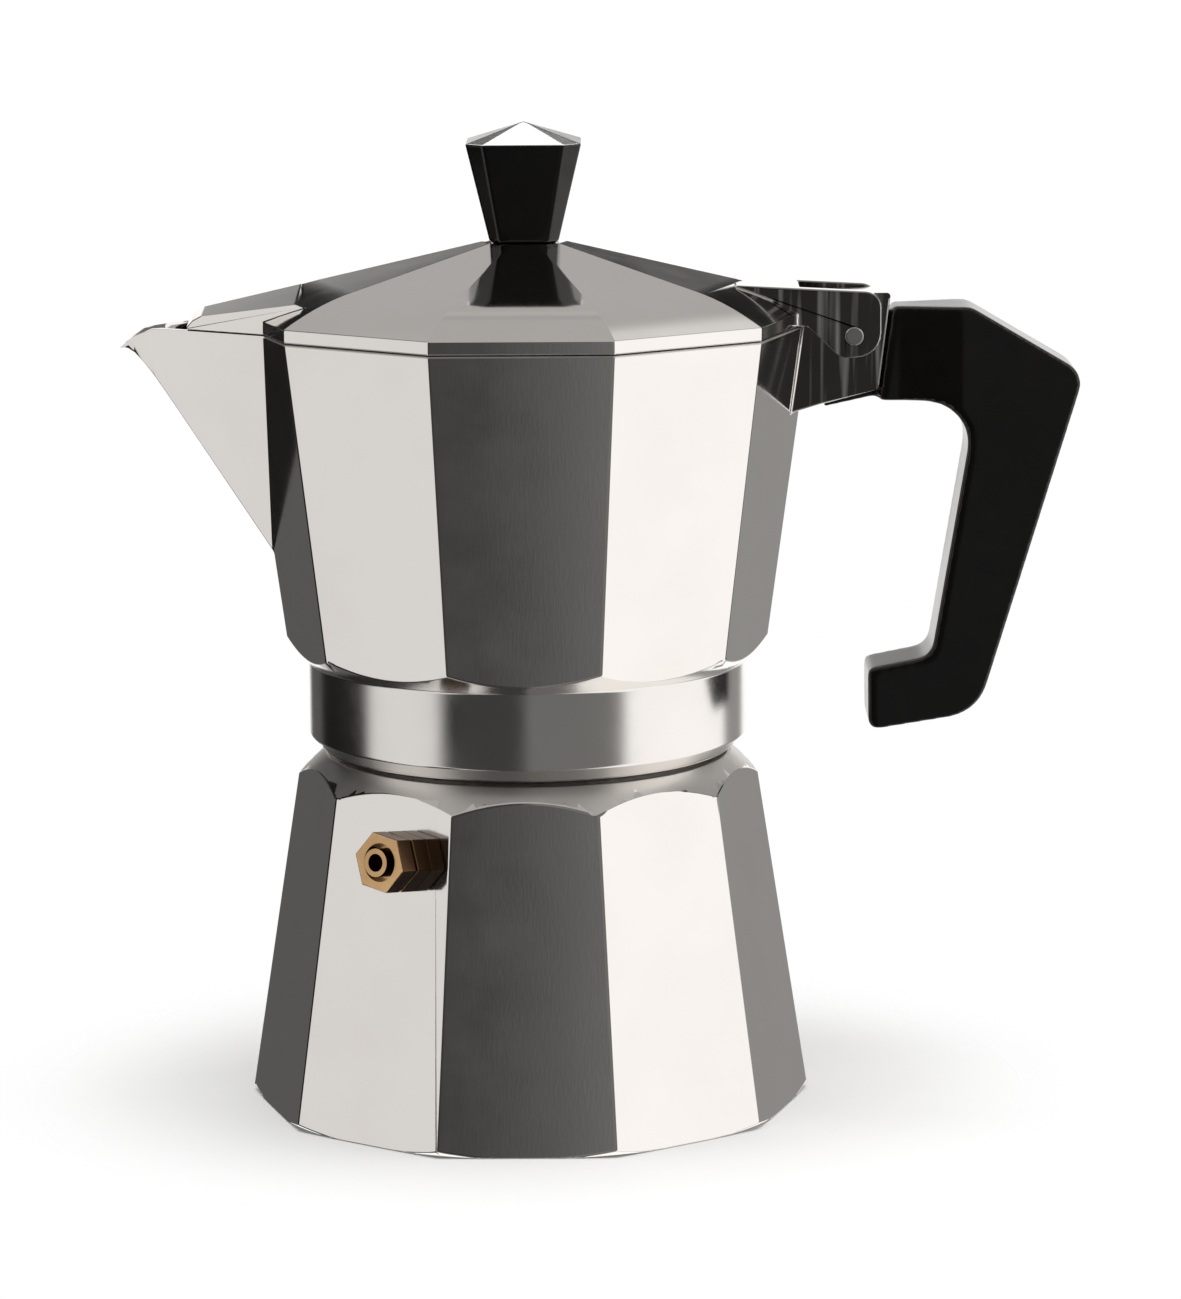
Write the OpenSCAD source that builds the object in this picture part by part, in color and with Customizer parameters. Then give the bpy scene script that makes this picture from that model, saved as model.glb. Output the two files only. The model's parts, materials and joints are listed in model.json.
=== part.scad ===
// Stovetop moka pot with ten facets: a boiler, a coffee funnel, a screwed-on collector
// with a spout, a hinged lid, and a bracket handle held by the hinge pin.
// The base stands on z = 0 and the pot's axis is Z. The spout points to -X, the handle to +X.

/* [Boiler] */
// Width of the foot across its corners
foot_w = 90.4; // [84:0.2:110]
// Height of the boiler's facets, from the foot to the turned shoulder
boiler_h = 52.6; // [42:0.2:64]
// Wall thickness of the boiler at its foot
boiler_wall = 2.6; // [2:0.1:4]
// Thickness of the boiler's floor
floor_t = 3; // [2:0.1:5]

/* [Screw joint] */
// Outer diameter of the boiler's thread
thread_d = 62; // [50:0.2:64]
// Height of a thread ridge
thread_depth = 1.2; // [0.8:0.1:1.6]
// Rise of the thread in one turn
thread_pitch = 3; // [2.5:0.1:4]
// Length of the boiler's neck, from the shoulder to its rim
neck_h = 13.2; // [12.6:0.1:18]
// Thickness of the collector's skirt outside its thread
skirt_wall = 2.5; // [2:0.1:4]

/* [Seal and filter] */
// Thickness of the rubber gasket
gasket_t = 2.5; // [2:0.1:4]
// Width of the gasket's ring
gasket_w = 6.3; // [5.5:0.1:7]
// Thickness of the sheet metal of the funnel and the filter plate
sheet_t = 0.6; // [0.4:0.1:1]
// Depth of the funnel's coffee basket
basket_h = 21.6; // [14:0.2:26]
// Inner radius of the funnel's stem
stem_bore_r = 4; // [3:0.1:5]

/* [Collector] */
// Width of the collector's rim across its corners
rim_w = 91; // [86:0.2:112]
// Height of the collector's facets, from the turned underside to the rim
collector_h = 50.2; // [46:0.2:64]
// Wall thickness of the collector
collector_wall = 2.7; // [2:0.1:3.2]
// Height of the coffee column above the collector's floor
column_h = 32; // [24:0.5:36]
// How far the spout reaches beyond the rim's corner
spout_reach = 18.5; // [15:0.1:22]
// Width of the spout where it leaves the rim
spout_w = 30; // [26:0.2:32]
// Depth of the spout, from the rim down to where it meets the corner
spout_depth = 36.7; // [30:0.1:40]

/* [Lid] */
// Thickness of the lid's shell
lid_wall = 1.8; // [1.4:0.1:2.4]
// Fall of the lid's facets in each millimetre outwards
lid_slope = 0.242; // [0.18:0.002:0.3]
// Height of the lid's eave above the rim, before its edge is rounded
lid_eave = 4.15; // [3.6:0.05:5]
// Width of the hinge block on the lid
hinge_w = 14.8; // [14:0.2:17]

/* [Hinge and handle] */
// Diameter of the hinge pin
pin_d = 3; // [2.4:0.1:3.4]
// Width of the lug between the lid's ears
lug_w = 9.6; // [9:0.1:10.2]
// Thickness of the handle's grip
handle_t = 14; // [11:0.5:18]
// How far the handle reaches beyond the lug
handle_reach = 30.4; // [27:0.2:38]
// Drop of the handle's tip below the rim
handle_drop = 64.8; // [58:0.2:76]

/* [Knob] */
// Height of the knob
knob_h = 18.9; // [15:0.1:24]
// Width of the knob at its top, across its flats
knob_w = 18.2; // [15:0.1:22]
// Width of the knob at its waist, across its flats
knob_waist = 11; // [10:0.1:13]

/* [Safety valve] */
// Distance across the flats of the valve's hexagon
valve_flats = 8.5; // [8:0.1:11]
// How far the valve stands out of its facet
valve_out = 7.15; // [6.6:0.05:9]
// Height of the valve's axis where it leaves the facet
valve_h = 44.85; // [30:0.05:46]
// Radius of the bore in the valve's mouth
valve_bore_r = 3; // [2.9:0.05:3.2]

/* [Hidden] */

aluminium = "#c8c5bf";
dull_aluminium = "#a5a29c";
black = "#1c1b1a";
brass = "#b8904c";
steel = "#9a9a9c";
rubber = "#e6e2d8";

$fn = 96;
sides = 10;
step = 360 / sides;
flat = cos(step / 2);       // inradius of a polygon with a circumradius of 1
eps = 0.01;
fit = 0.05;                 // radial room of a running fit
seam = 0.15;                // room between pieces that part

// Screw joint, from the axis outwards
thread_r = thread_d / 2;
core_r = thread_r - thread_depth;
thread_slack = 0.35;                        // room between the two threads' crests
nut_r = thread_r + thread_slack;            // crest of the collector's thread
skirt_bore_r = nut_r + thread_depth;
skirt_r = skirt_bore_r + skirt_wall;
neck_bore_r = core_r - 2.8;
shoulder_r = skirt_r + 2;                   // corners of the boiler's facets at the shoulder
collector_foot_r = skirt_r + 3.6;
foot_r = foot_w / 2;
rim_r = rim_w / 2;

// Heights, from the foot up
shoulder_rise = 4.2;
shoulder_top = boiler_h + shoulder_rise;
skirt_z = shoulder_top + 0.8;
boiler_rim = shoulder_top + neck_h;
gasket_z = boiler_rim + sheet_t;
plate_z = gasket_z + gasket_t;              // underside of the filter plate's flange
ceiling_z = plate_z + sheet_t;              // underside of the collector's floor
undercut_z = boiler_rim + 1.7;              // where the skirt meets the collector's underside
collector_z = undercut_z + 3.3;
collector_floor = ceiling_z + 4.2;
rim_z = collector_z + collector_h;
lid_z = rim_z + seam;

// Straight facets: circumradius at a height, and the lean of a facet from upright
function boiler_r(z) = foot_r + (shoulder_r - foot_r) * z / boiler_h;
function collector_r(z) = collector_foot_r + (rim_r - collector_foot_r) * (z - collector_z) / collector_h;
facet_lean = atan((foot_r - shoulder_r) * flat / boiler_h);

// Coffee funnel
basket_r = neck_bore_r - 0.4;
basket_bore_r = basket_r - sheet_t;
flange_r = core_r - 0.7;
basket_floor = boiler_rim - basket_h;
cone_drop = 5.4;
stem_r = stem_bore_r + sheet_t;
stem_end = floor_t + 2.2;

// Gasket and filter plate
gasket_r = thread_r + 0.1;
gasket_bore_r = gasket_r - gasket_w;
dish_r = gasket_bore_r - 0.3;
dish_flange_r = gasket_bore_r + 2;
dish_h = gasket_t - 0.4;

// Safety valve, measured outwards from the facet
valve_azimuth = -126;
valve_offset = 3.65;
valve_turn = 21;
valve_r = valve_flats / 2 / cos(30);
valve_stud_r = 3.95;
valve_boss_r = 7;
valve_inner = -5.5;
valve_seat = -3.6;
orifice_r = 1.5;
piston_r = valve_bore_r - fit;
piston_h = 1.6;
pintle_r = 2.2;
pintle_out = 1;
pintle_bore_r = 1.4;
seal_t = 0.8;
retainer_at = valve_out - 2.6;
retainer_t = 0.9;
spring_wire_r = 0.17;
spring_turns = 7;

// Hinge, lug and slot
pin_r = pin_d / 2;
pin_x = rim_r + 6.5;
pin_z = rim_z - 1.4;
lug_end_x = rim_r + 12.4;                   // top of the lug's end face
lug_top = rim_z + 5.2;
lug_drop = 10.1;                            // from the rim to the low corner of the end face
lug_lean = 1.9;                             // the end face leans in by this much to its low corner
lug_clear_r = pin_x - rim_r + 1.75;         // the lug stays within this of the pin, below the lid
slot_w = lug_w + 0.6;
slot_x = rim_r - 2;
pocket_w = 6;
tenon_w = pocket_w - 2 * fit;
lug_roof = 3;

// Handle
handle_top = rim_z + 3;
handle_gap = 0.3;
handle_neck_w = lug_w - 0.6;
handle_lean = 0.3;                          // outer side: sideways run in each millimetre of height
grip_lean = 0.168;                          // the same for the inner side
grip_top_w = 15.6;

// Lid
lid_in = rim_r * flat;
lid_edge_drop = 2.1;
lid_round_from = 0.72;                      // part of the way out where the facets start to round down
lid_apex = lid_z + lid_eave + lid_slope * lid_in;
lid_land_r = 6.4;
lid_land_z = lid_apex - lid_slope * lid_land_r;
band_wall = 2.2;
boss_r = 6;
boss_z = lid_land_z - 4.4;
spout_line_x = rim_r + spout_reach + 0.3;   // where the spout's straight edge would meet the rim
hood_x = rim_r + 7.8;

// Knob and its fixing
knob_chamfer = 0.295;                       // share of the half-width taken off each corner
knob_cap_h = 3.1;
knob_foot_h = 0.5;
screw_r = 2;
insert_r = 3.2;
insert_h = 8;
washer_r = 4.6;
washer_t = 0.8;

// A polygon whose corners [x, y, radius] are rounded
function unit(v) = v / norm(v);
function corner(a, p, b) =
    let (u = unit([a.x - p.x, a.y - p.y]), v = unit([b.x - p.x, b.y - p.y]))
    let (half = acos(u * v) / 2, reach = p.z / sin(half), mid = unit(u + v))
    let (c = [p.x, p.y] + mid * reach)
    let (from = [p.x, p.y] + u * p.z / tan(half) - c, to = [p.x, p.y] + v * p.z / tan(half) - c)
    let (start = atan2(from.y, from.x), sweep = atan2(from.x * to.y - from.y * to.x, from * to))
    [for (i = [0:6]) c + p.z * [cos(start + sweep * i / 6), sin(start + sweep * i / 6)]];
function rounded(pts) = [
    for (i = [0:len(pts) - 1])
        let (a = pts[(i + len(pts) - 1) % len(pts)], p = pts[i], b = pts[(i + 1) % len(pts)])
        each p.z == 0 ? [[p.x, p.y]] : corner(a, p, b)
];

// A closed skin through rings of points. Each ring runs anticlockwise seen from the last ring's end.
module loft(rings) {
    n = len(rings[0]);
    m = len(rings);
    sides_of = [
        for (i = [0:m - 2], j = [0:n - 1])
            let (a = i * n + j, b = i * n + (j + 1) % n)
            each [[a, b + n, b], [a, a + n, b + n]]
    ];
    ends = [[for (j = [0:n - 1]) j], [for (j = [n - 1:-1:0]) (m - 1) * n + j]];
    polyhedron([for (r = rings) each r], concat(sides_of, ends));
}

// A helical ridge from radius r0, sunk in its cylinder, to its crest r1, fading out at both ends
module ridge(r0, r1, z0, z1) {
    per_turn = 30;
    count = round((z1 - z0) / thread_pitch * per_turn);
    foot = thread_pitch * 0.36;
    crest = thread_pitch * 0.1;
    loft([
        for (i = [0:count])
            let (a = i * 360 / per_turn, z = z0 + i * thread_pitch / per_turn)
            let (fade = min(1, (i + 0.6) / 4, (count - i + 0.6) / 4), r = r0 + (r1 - r0) * fade)
            let (ring = [[r0, -foot], [r0, foot], [r, crest], [r, -crest]])
            let (way = r1 > r0 ? ring : [for (k = [3:-1:0]) ring[k]])
            [for (q = way) [q.x * cos(a), q.x * sin(a), z + q.y]]
    ]);
}

// A ten-sided frustum with a corner on +X
module frustum(r0, r1, z0, z1) {
    translate([0, 0, z0]) cylinder(r1 = r0, r2 = r1, h = z1 - z0, $fn = sides);
}

module turned(points) {
    rotate_extrude() polygon(points);
}

// A plate cut to a side view in X and Z, centred on the pot's middle plane
module side_plate(points, width) {
    rotate([90, 0, 0]) linear_extrude(width, center = true) polygon(points);
}

module pin_hole(r, width) {
    translate([pin_x, 0, pin_z]) rotate([90, 0, 0]) cylinder(r = r, h = width, center = true);
}

// Draws along the valve's axis: z = 0 on the facet, +Z straight out of it
module at_valve() {
    rotate([0, 0, valve_azimuth])
        translate([boiler_r(valve_h) * flat, valve_offset, valve_h])
            rotate([0, 90 - facet_lean, 0])
                children();
}

// ---- Boiler -------------------------------------------------------------------------------

module boiler() {
    chamfer = 1.5;
    wall_r = boiler_r(0) * flat - boiler_wall;
    top_r = neck_bore_r + 5.4;
    lip_r = skirt_r - 2.5;
    color(aluminium) difference() {
        union() {
            intersection() {
                frustum(boiler_r(0), boiler_r(shoulder_top), 0, shoulder_top);
                turned([
                    [0, 0], [foot_r - chamfer - 0.4, 0], [foot_r + 0.4, chamfer],
                    [foot_r + 1, boiler_h - 8], [shoulder_r + 0.2, boiler_h - 0.2],
                    [shoulder_r - 2, boiler_h + 1.9], [lip_r, shoulder_top], [0, shoulder_top],
                ]);
            }
            translate([0, 0, shoulder_top - eps]) cylinder(r = core_r, h = neck_h + eps);
            ridge(core_r - 0.4, thread_r, shoulder_top + 3.6, boiler_rim - 2.2);
            at_valve() translate([0, 0, -4.2]) cylinder(r = valve_boss_r, h = 2.4);
        }
        difference() {
            turned([
                [0, floor_t], [wall_r - 2, floor_t], [wall_r, floor_t + 2], [top_r, boiler_h - 4],
                [neck_bore_r, boiler_h + 2], [neck_bore_r, boiler_rim + 1], [0, boiler_rim + 1],
            ]);
            at_valve() translate([0, 0, -4.2]) cylinder(r = valve_boss_r, h = 8);
        }
        at_valve() translate([0, 0, -9]) cylinder(r = valve_stud_r + fit, h = 14);
    }
}

// ---- Safety valve -------------------------------------------------------------------------

module valve_body() {
    groove_z = valve_out * 0.48;
    color(brass) at_valve() difference() {
        union() {
            rotate([0, 0, valve_turn]) cylinder(r = valve_r, h = valve_out, $fn = 6);
            translate([0, 0, valve_inner]) cylinder(r = valve_stud_r, h = eps - valve_inner);
        }
        translate([0, 0, groove_z]) difference() {
            cylinder(r = valve_r + 1, h = 0.5);
            translate([0, 0, -1]) cylinder(r = valve_flats / 2 - 0.4, h = 3);
        }
        translate([0, 0, valve_seat]) cylinder(r = valve_bore_r, h = valve_out - valve_seat + 1);
        translate([0, 0, valve_inner - 1]) cylinder(r = orifice_r, h = valve_seat - valve_inner + 2);
    }
}

// Ring pressed into the valve's mouth: it holds the spring and guides the plunger
module valve_retainer() {
    color(brass) at_valve() translate([0, 0, retainer_at]) difference() {
        cylinder(r = valve_bore_r - 0.01, h = retainer_t);
        translate([0, 0, -1]) cylinder(r = pintle_r + fit, h = retainer_t + 2);
    }
}

module valve_plunger() {
    head = valve_seat + seal_t;
    color(brass) at_valve() difference() {
        union() {
            translate([0, 0, head]) cylinder(r = piston_r, h = piston_h);
            translate([0, 0, head]) cylinder(r = pintle_r, h = valve_out + pintle_out - head);
        }
        translate([0, 0, valve_out + pintle_out - 4]) cylinder(r = pintle_bore_r, h = 5);
    }
}

module valve_seal() {
    color(black) at_valve() translate([0, 0, valve_seat]) cylinder(r = piston_r - 0.2, h = seal_t);
}

module valve_spring() {
    low = valve_seat + seal_t + piston_h + spring_wire_r;
    high = retainer_at - spring_wire_r;
    mean_r = (pintle_r + valve_bore_r) / 2;
    count = spring_turns * 16;
    color(steel) at_valve() loft([
        for (i = [0:count])
            let (a = i * 360 / 16, z = low + (high - low) * i / count)
            [for (k = [5:-1:0])
                let (r = mean_r + spring_wire_r * cos(60 * k))
                [r * cos(a), r * sin(a), z + spring_wire_r * sin(60 * k)]]
    ]);
}

// ---- Funnel, gasket and filter plate ------------------------------------------------------

module funnel() {
    ledge_r = basket_bore_r - 2;
    cone_z = basket_floor - cone_drop;
    color(dull_aluminium) turned([
        [stem_bore_r, stem_end], [stem_r, stem_end], [stem_r + 0.4, cone_z],
        [ledge_r + sheet_t, basket_floor - sheet_t], [basket_r, basket_floor - sheet_t],
        [basket_r, boiler_rim], [flange_r, boiler_rim], [flange_r, gasket_z], [basket_bore_r, gasket_z],
        [basket_bore_r, basket_floor], [ledge_r, basket_floor], [stem_bore_r + 0.4, cone_z + sheet_t],
    ]);
}

// Holes on rings round the middle, with one in the middle
module sieve(rings, pitch, r, h) {
    translate([0, 0, -1]) cylinder(r = r, h = h + 2, $fn = 16);
    for (k = [1:rings], i = [0:6 * k - 1])
        rotate([0, 0, i * 60 / k]) translate([k * pitch, 0, -1]) cylinder(r = r, h = h + 2, $fn = 16);
}

module funnel_strainer() {
    disc_r = basket_bore_r - fit;
    color(dull_aluminium) translate([0, 0, basket_floor]) difference() {
        cylinder(r = disc_r, h = sheet_t);
        sieve(4, (disc_r - 5) / 4, 0.9, sheet_t);
    }
}

module gasket() {
    color(rubber) turned([
        [gasket_bore_r, gasket_z], [gasket_r, gasket_z], [gasket_r, ceiling_z],
        [dish_flange_r + fit, ceiling_z], [dish_flange_r + fit, plate_z], [gasket_bore_r, plate_z],
    ]);
}

module filter_plate() {
    top = ceiling_z - dish_h;
    color(aluminium) difference() {
        turned([
            [0, top - sheet_t], [dish_r, top - sheet_t], [dish_r, plate_z], [dish_flange_r, plate_z],
            [dish_flange_r, ceiling_z], [dish_r - sheet_t, ceiling_z], [dish_r - sheet_t, top], [0, top],
        ]);
        translate([0, 0, top - sheet_t]) sieve(5, (dish_r - 3.6) / 5, 0.7, sheet_t);
    }
}

// ---- Collector ----------------------------------------------------------------------------

// Half-width of the spout's plan at a distance x from the axis
spout_tip_x = rim_r + spout_reach;
spout_run = spout_line_x - rim_r + 4.8;
spout_low_x = collector_r(rim_z - spout_depth);
function spout_half(x) = (spout_line_x - x) * spout_w / 2 / spout_run;

// Rings of the spout at distances x from the axis, shrunk by a wall w; top is how far it rises past the rim
function spout_rings(w, top) = [
    for (i = [0:14])
        let (u = i / 14, x = rim_r - 9.5 + (spout_tip_x - rim_r + 9.5) * (1 - pow(1 - u, 1.4)))
        let (t = w * min(1, 0.25 + (spout_tip_x - x) / 9))
        let (flare = pow(max(0, x - rim_r - 4.5) / (spout_reach - 4.5), 7), cut = max(0, x - rim_r - 12.8))
        let (low = rim_z - spout_depth * (spout_line_x - x) / (spout_line_x - spout_low_x))
        let (edge = low - 2.9 * flare + t * 2.2, lip = max(rim_z - 0.25 * pow(cut, 1.5), edge + 0.2))
        let (half = max(spout_half(x), 0) + 0.35 - t * 1.16)
        let (side = max(half, 0.12))
        [[-x, 0, edge], [-x, -side, lip], [-x, -side, lip + top], [-x, side, lip + top], [-x, side, lip]]
];

module spout_solid() {
    loft(spout_rings(0, eps));
}

module spout_channel() {
    loft(spout_rings(1.7, 6));
}

function lug_outline() = rounded([
    [rim_r - 4, rim_z - 14.1, 0], [rim_r + 1.5, rim_z - 12.5, 0],
    [lug_end_x - lug_lean, rim_z - lug_drop, 0.8], [lug_end_x, lug_top, 0.6],
    [pin_x - sqrt(pow(lug_clear_r, 2) - pow(lug_top - pin_z, 2)), lug_top, 0.8],
    [pin_x - lug_clear_r + 0.15, pin_z + 1.45, 0], [rim_r - 4, pin_z + 1.3, 0],
]);

module lug() {
    side_plate(lug_outline(), lug_w);
}

// Space for the handle's tenon: open at the end and underneath
module lug_pocket() {
    side_plate([
        [rim_r + 1.6, rim_z - 20], [lug_end_x + 4, rim_z - 20], [lug_end_x + 4, lug_top - lug_roof],
        [rim_r + 1.6, lug_top - lug_roof],
    ], pocket_w);
}

// The tube that the coffee rises through, with two slots under its closed top
column_top = collector_floor + column_h;

module column() {
    turned([
        [0, ceiling_z + 1], [9, ceiling_z + 1], [8.2, collector_floor + 2], [6.2, column_top - 2],
        [5.2, column_top], [0, column_top],
    ]);
}

module column_bore() {
    turned([
        [0, ceiling_z - 1], [6, ceiling_z - 1], [5.6, collector_floor], [4, column_top - 3.4],
        [0, column_top - 1.8],
    ]);
    for (side = [-1, 1]) translate([0, 4.5 * side, column_top - 6.4]) cube([3, 6, 4.6], center = true);
}

module collector() {
    inner = collector_wall / flat;
    floor_r = collector_r(collector_floor) - inner;
    color(aluminium) difference() {
        union() {
            intersection() {
                frustum(collector_r(undercut_z - 1), rim_r, undercut_z - 1, rim_z);
                turned([
                    [0, undercut_z - 1], [skirt_r, undercut_z - 1], [skirt_r, undercut_z],
                    [collector_foot_r + 0.2, collector_z + 0.1], [rim_r + 2, collector_z + 12],
                    [rim_r + 2, rim_z], [0, rim_z],
                ]);
            }
            turned([
                [0, skirt_z], [skirt_r - skirt_wall + 0.2, skirt_z], [skirt_r, skirt_z + 2.2],
                [skirt_r, undercut_z + 0.5], [0, undercut_z + 0.5],
            ]);
            spout_solid();
            lug();
        }
        difference() {
            union() {
                frustum(floor_r, collector_r(rim_z + 1) - inner, collector_floor, rim_z + 1);
                spout_channel();
            }
            column();
        }
        column_bore();
        lug_pocket();
        pin_hole(pin_r, 40);
        difference() {
            turned([
                [0, skirt_z - 1], [skirt_bore_r, skirt_z - 1], [skirt_bore_r, ceiling_z],
                [dish_r - 1, ceiling_z], [dish_r - 3, ceiling_z + 1.4], [0, ceiling_z + 1.4],
            ]);
            ridge(skirt_bore_r + 0.4, nut_r, skirt_z + 2.4, boiler_rim - 1.2);
        }
    }
}

// ---- Handle -------------------------------------------------------------------------------

// Side view of the handle outside the lug
function handle_outline() =
    let (end_x = lug_end_x + handle_gap, out_x = lug_end_x + handle_reach, tip_z = rim_z - handle_drop)
    let (knee_z = handle_top - 10.6, bend_z = tip_z + 2.8, in_z = tip_z + 11.9)
    let (top_in_z = rim_z - 12.1, in_x = out_x - (knee_z - top_in_z) * handle_lean - grip_top_w)
    rounded([
        [end_x - 0.1, handle_top - 0.1, 0.6], [lug_end_x + 12.6, handle_top, 3], [out_x + 0.2, knee_z, 3.6],
        [out_x - (knee_z - bend_z) * handle_lean, bend_z, 7.5],
        [lug_end_x - 3.4, tip_z, 1.4], [lug_end_x - 3.5, tip_z + 9.9, 0.8],
        [in_x - (top_in_z - in_z) * grip_lean, in_z, 3], [in_x, top_in_z, 6.5],
        [end_x - 2.1, top_in_z, 0],
    ]);

// Side view of the tenon, and of the lip that closes the lug underneath
function tenon_outline() =
    let (end_x = lug_end_x + 2, root_x = rim_r + 1.9, top_z = lug_top - lug_roof - seam)
    [
        [end_x, rim_z - 12], [end_x, top_z], [root_x + 1.1, top_z], [root_x, rim_z - 6],
        [root_x, rim_z - 13.2], [lug_end_x - lug_lean, rim_z - lug_drop - 1.2],
    ];

module handle() {
    wide = handle_t / 2;
    neck = handle_neck_w / 2;
    wide_x = lug_end_x + 10.6;
    tip_z = rim_z - handle_drop - 1;
    arm_low = rim_z - 14;
    color(black) difference() {
        union() {
            intersection() {
                side_plate(handle_outline(), handle_t);
                translate([0, 0, tip_z]) linear_extrude(handle_drop + 8) polygon([
                    [lug_end_x - 4.5, -neck], [lug_end_x + 2, -neck], [wide_x, -wide], [200, -wide],
                    [200, wide], [wide_x, wide], [lug_end_x + 2, neck], [lug_end_x - 4.5, neck],
                ]);
            }
            intersection() {
                side_plate(handle_outline(), handle_t);
                translate([0, -wide, tip_z]) cube([200, handle_t, arm_low - tip_z]);
            }
            side_plate(tenon_outline(), tenon_w);
        }
        pin_hole(pin_r + fit, 40);
    }
}

module hinge_pin() {
    color(steel) translate([pin_x, 0, pin_z]) rotate([90, 0, 0])
        cylinder(r = pin_r, h = hinge_w + 0.4, center = true);
}

// ---- Lid ----------------------------------------------------------------------------------

// Height of the lid's facet at a distance d from the axis, rounding down to its edge
function lid_height(d, edge) =
    let (past = max(0, d / edge - lid_round_from) / (1 - lid_round_from))
    lid_apex - lid_slope * d - lid_edge_drop * past * past;

module lid_dome(edge, drop, low) {
    out = [for (i = [7:-1:0]) edge * (lid_round_from + (1 - lid_round_from) * i / 7)];
    loft([
        decagon(edge, low),
        each [for (d = concat(out, [0.5])) decagon(d, lid_height(d, edge) - drop)],
    ]);
}

// A ten-sided ring whose flats are a distance d from the axis
function decagon(d, z) = [for (k = [0:sides - 1]) [d / flat * cos(k * step), d / flat * sin(k * step), z]];

// Roof over the spout: the two lid facets carried on past the rim, inset by a wall w.
// Its first ring is sunk in the dome, and it comes out where the dome starts to round down.
function hood_rings(w) = [
    for (back = [hood_x - rim_r + 13, hood_x - rim_r + 10, 10, 5, 2.4, 1, 0])
        let (x = hood_x - w - back, half = spout_half(x) - 0.1 - 1.16 * w, nose = max(0, 2.4 - back))
        let (sunk = x < rim_r - 11 ? 1.2 : 0, low = w > 0 ? lid_z - 1 : lid_z)
        let (ridge_z = lid_apex - lid_slope * flat * x - w - sunk - 0.22 * nose * nose)
        let (eave_z = ridge_z - lid_slope * half * sin(step / 2) - 0.1 * nose)
        [[-x, -half, low], [-x, -half, eave_z], [-x, 0, ridge_z], [-x, half, eave_z], [-x, half, low]]
];

function hinge_outline() = rounded([
    [rim_r - 12.1, lid_z, 0], [rim_r - 0.9, lid_z, 0], [pin_x - 2.1, pin_z - 3.4, 3],
    [pin_x + 4.3, pin_z - 3.4, 4], [pin_x + 4.3, pin_z + 6.95, 2.6], [rim_r - 12.1, lid_z + 6.6, 0],
]);

module lid() {
    color(aluminium) difference() {
        union() {
            lid_dome(lid_in, 0, lid_z);
            loft(hood_rings(0));
            side_plate(hinge_outline(), hinge_w);
        }
        difference() {
            union() {
                lid_dome(lid_in - band_wall, lid_wall, lid_z - 1);
                loft(hood_rings(1.5));
            }
            translate([0, 0, boss_z]) cylinder(r = boss_r, h = 12);
        }
        translate([0, 0, lid_land_z]) cylinder(r = lid_land_r + 4, h = 10);
        translate([slot_x, -slot_w / 2, lid_z - 20]) cube([40, slot_w, 40]);
        cylinder(r = screw_r + 0.2, h = lid_apex + 1);
        pin_hole(pin_r + fit, 40);
    }
}

// ---- Knob ---------------------------------------------------------------------------------

// A square with its corners cut off
function cut_square(half) =
    let (c = half * (1 - knob_chamfer))
    [[half, -c], [half, c], [c, half], [-c, half], [-half, c], [-half, -c], [-c, -half], [c, -half]];
function knob_ring(half, z) = [for (q = cut_square(half)) [q.x, q.y, lid_land_z + z]];

module knob() {
    top = knob_h - knob_cap_h;
    color(black) difference() {
        loft([
            knob_ring(knob_waist / 2 - 0.5, 0), knob_ring(knob_waist / 2, knob_foot_h),
            knob_ring(knob_w / 2, top), knob_ring(0.05, knob_h),
        ]);
        translate([0, 0, lid_land_z - 1]) cylinder(r = insert_r, h = insert_h + 1);
    }
}

// Threaded brass bush moulded into the knob
module knob_insert() {
    color(brass) translate([0, 0, lid_land_z]) difference() {
        cylinder(r = insert_r, h = insert_h);
        translate([0, 0, -1]) cylinder(r = screw_r, h = insert_h + 2);
    }
}

module knob_washer() {
    color(steel) translate([0, 0, boss_z - washer_t]) difference() {
        cylinder(r = washer_r, h = washer_t);
        translate([0, 0, -1]) cylinder(r = screw_r + 0.2, h = washer_t + 2);
    }
}

module knob_screw() {
    head_r = 3.6;
    head_h = 2.2;
    head_z = boss_z - washer_t;
    color(steel) difference() {
        union() {
            translate([0, 0, head_z]) cylinder(r = screw_r, h = lid_land_z + insert_h - 1.5 - head_z);
            turned([
                [0, head_z - head_h], [head_r - 1.2, head_z - head_h], [head_r, head_z - 1],
                [head_r, head_z], [0, head_z],
            ]);
        }
        translate([0, 0, head_z - head_h]) cube([2 * head_r + 1, 0.9, 2], center = true);
    }
}

boiler();
valve_body();
valve_retainer();
valve_plunger();
valve_seal();
valve_spring();
funnel();
funnel_strainer();
gasket();
filter_plate();
collector();
handle();
hinge_pin();
lid();
knob();
knob_insert();
knob_screw();
knob_washer();
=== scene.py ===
"""Looks of a ten-sided stovetop coffee maker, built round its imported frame.

Every length is in metres and every place is in the frame's own axes: +Z up along the pot, the handle
and hinge on +X, the spout on -X. The frame gives where each piece is; the classes below give its finish.
"""

import json
import logging
import math
from dataclasses import dataclass, field
from enum import Enum
from typing import Callable, Sequence

import bmesh
import bpy
from mathutils import Matrix, Vector


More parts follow.
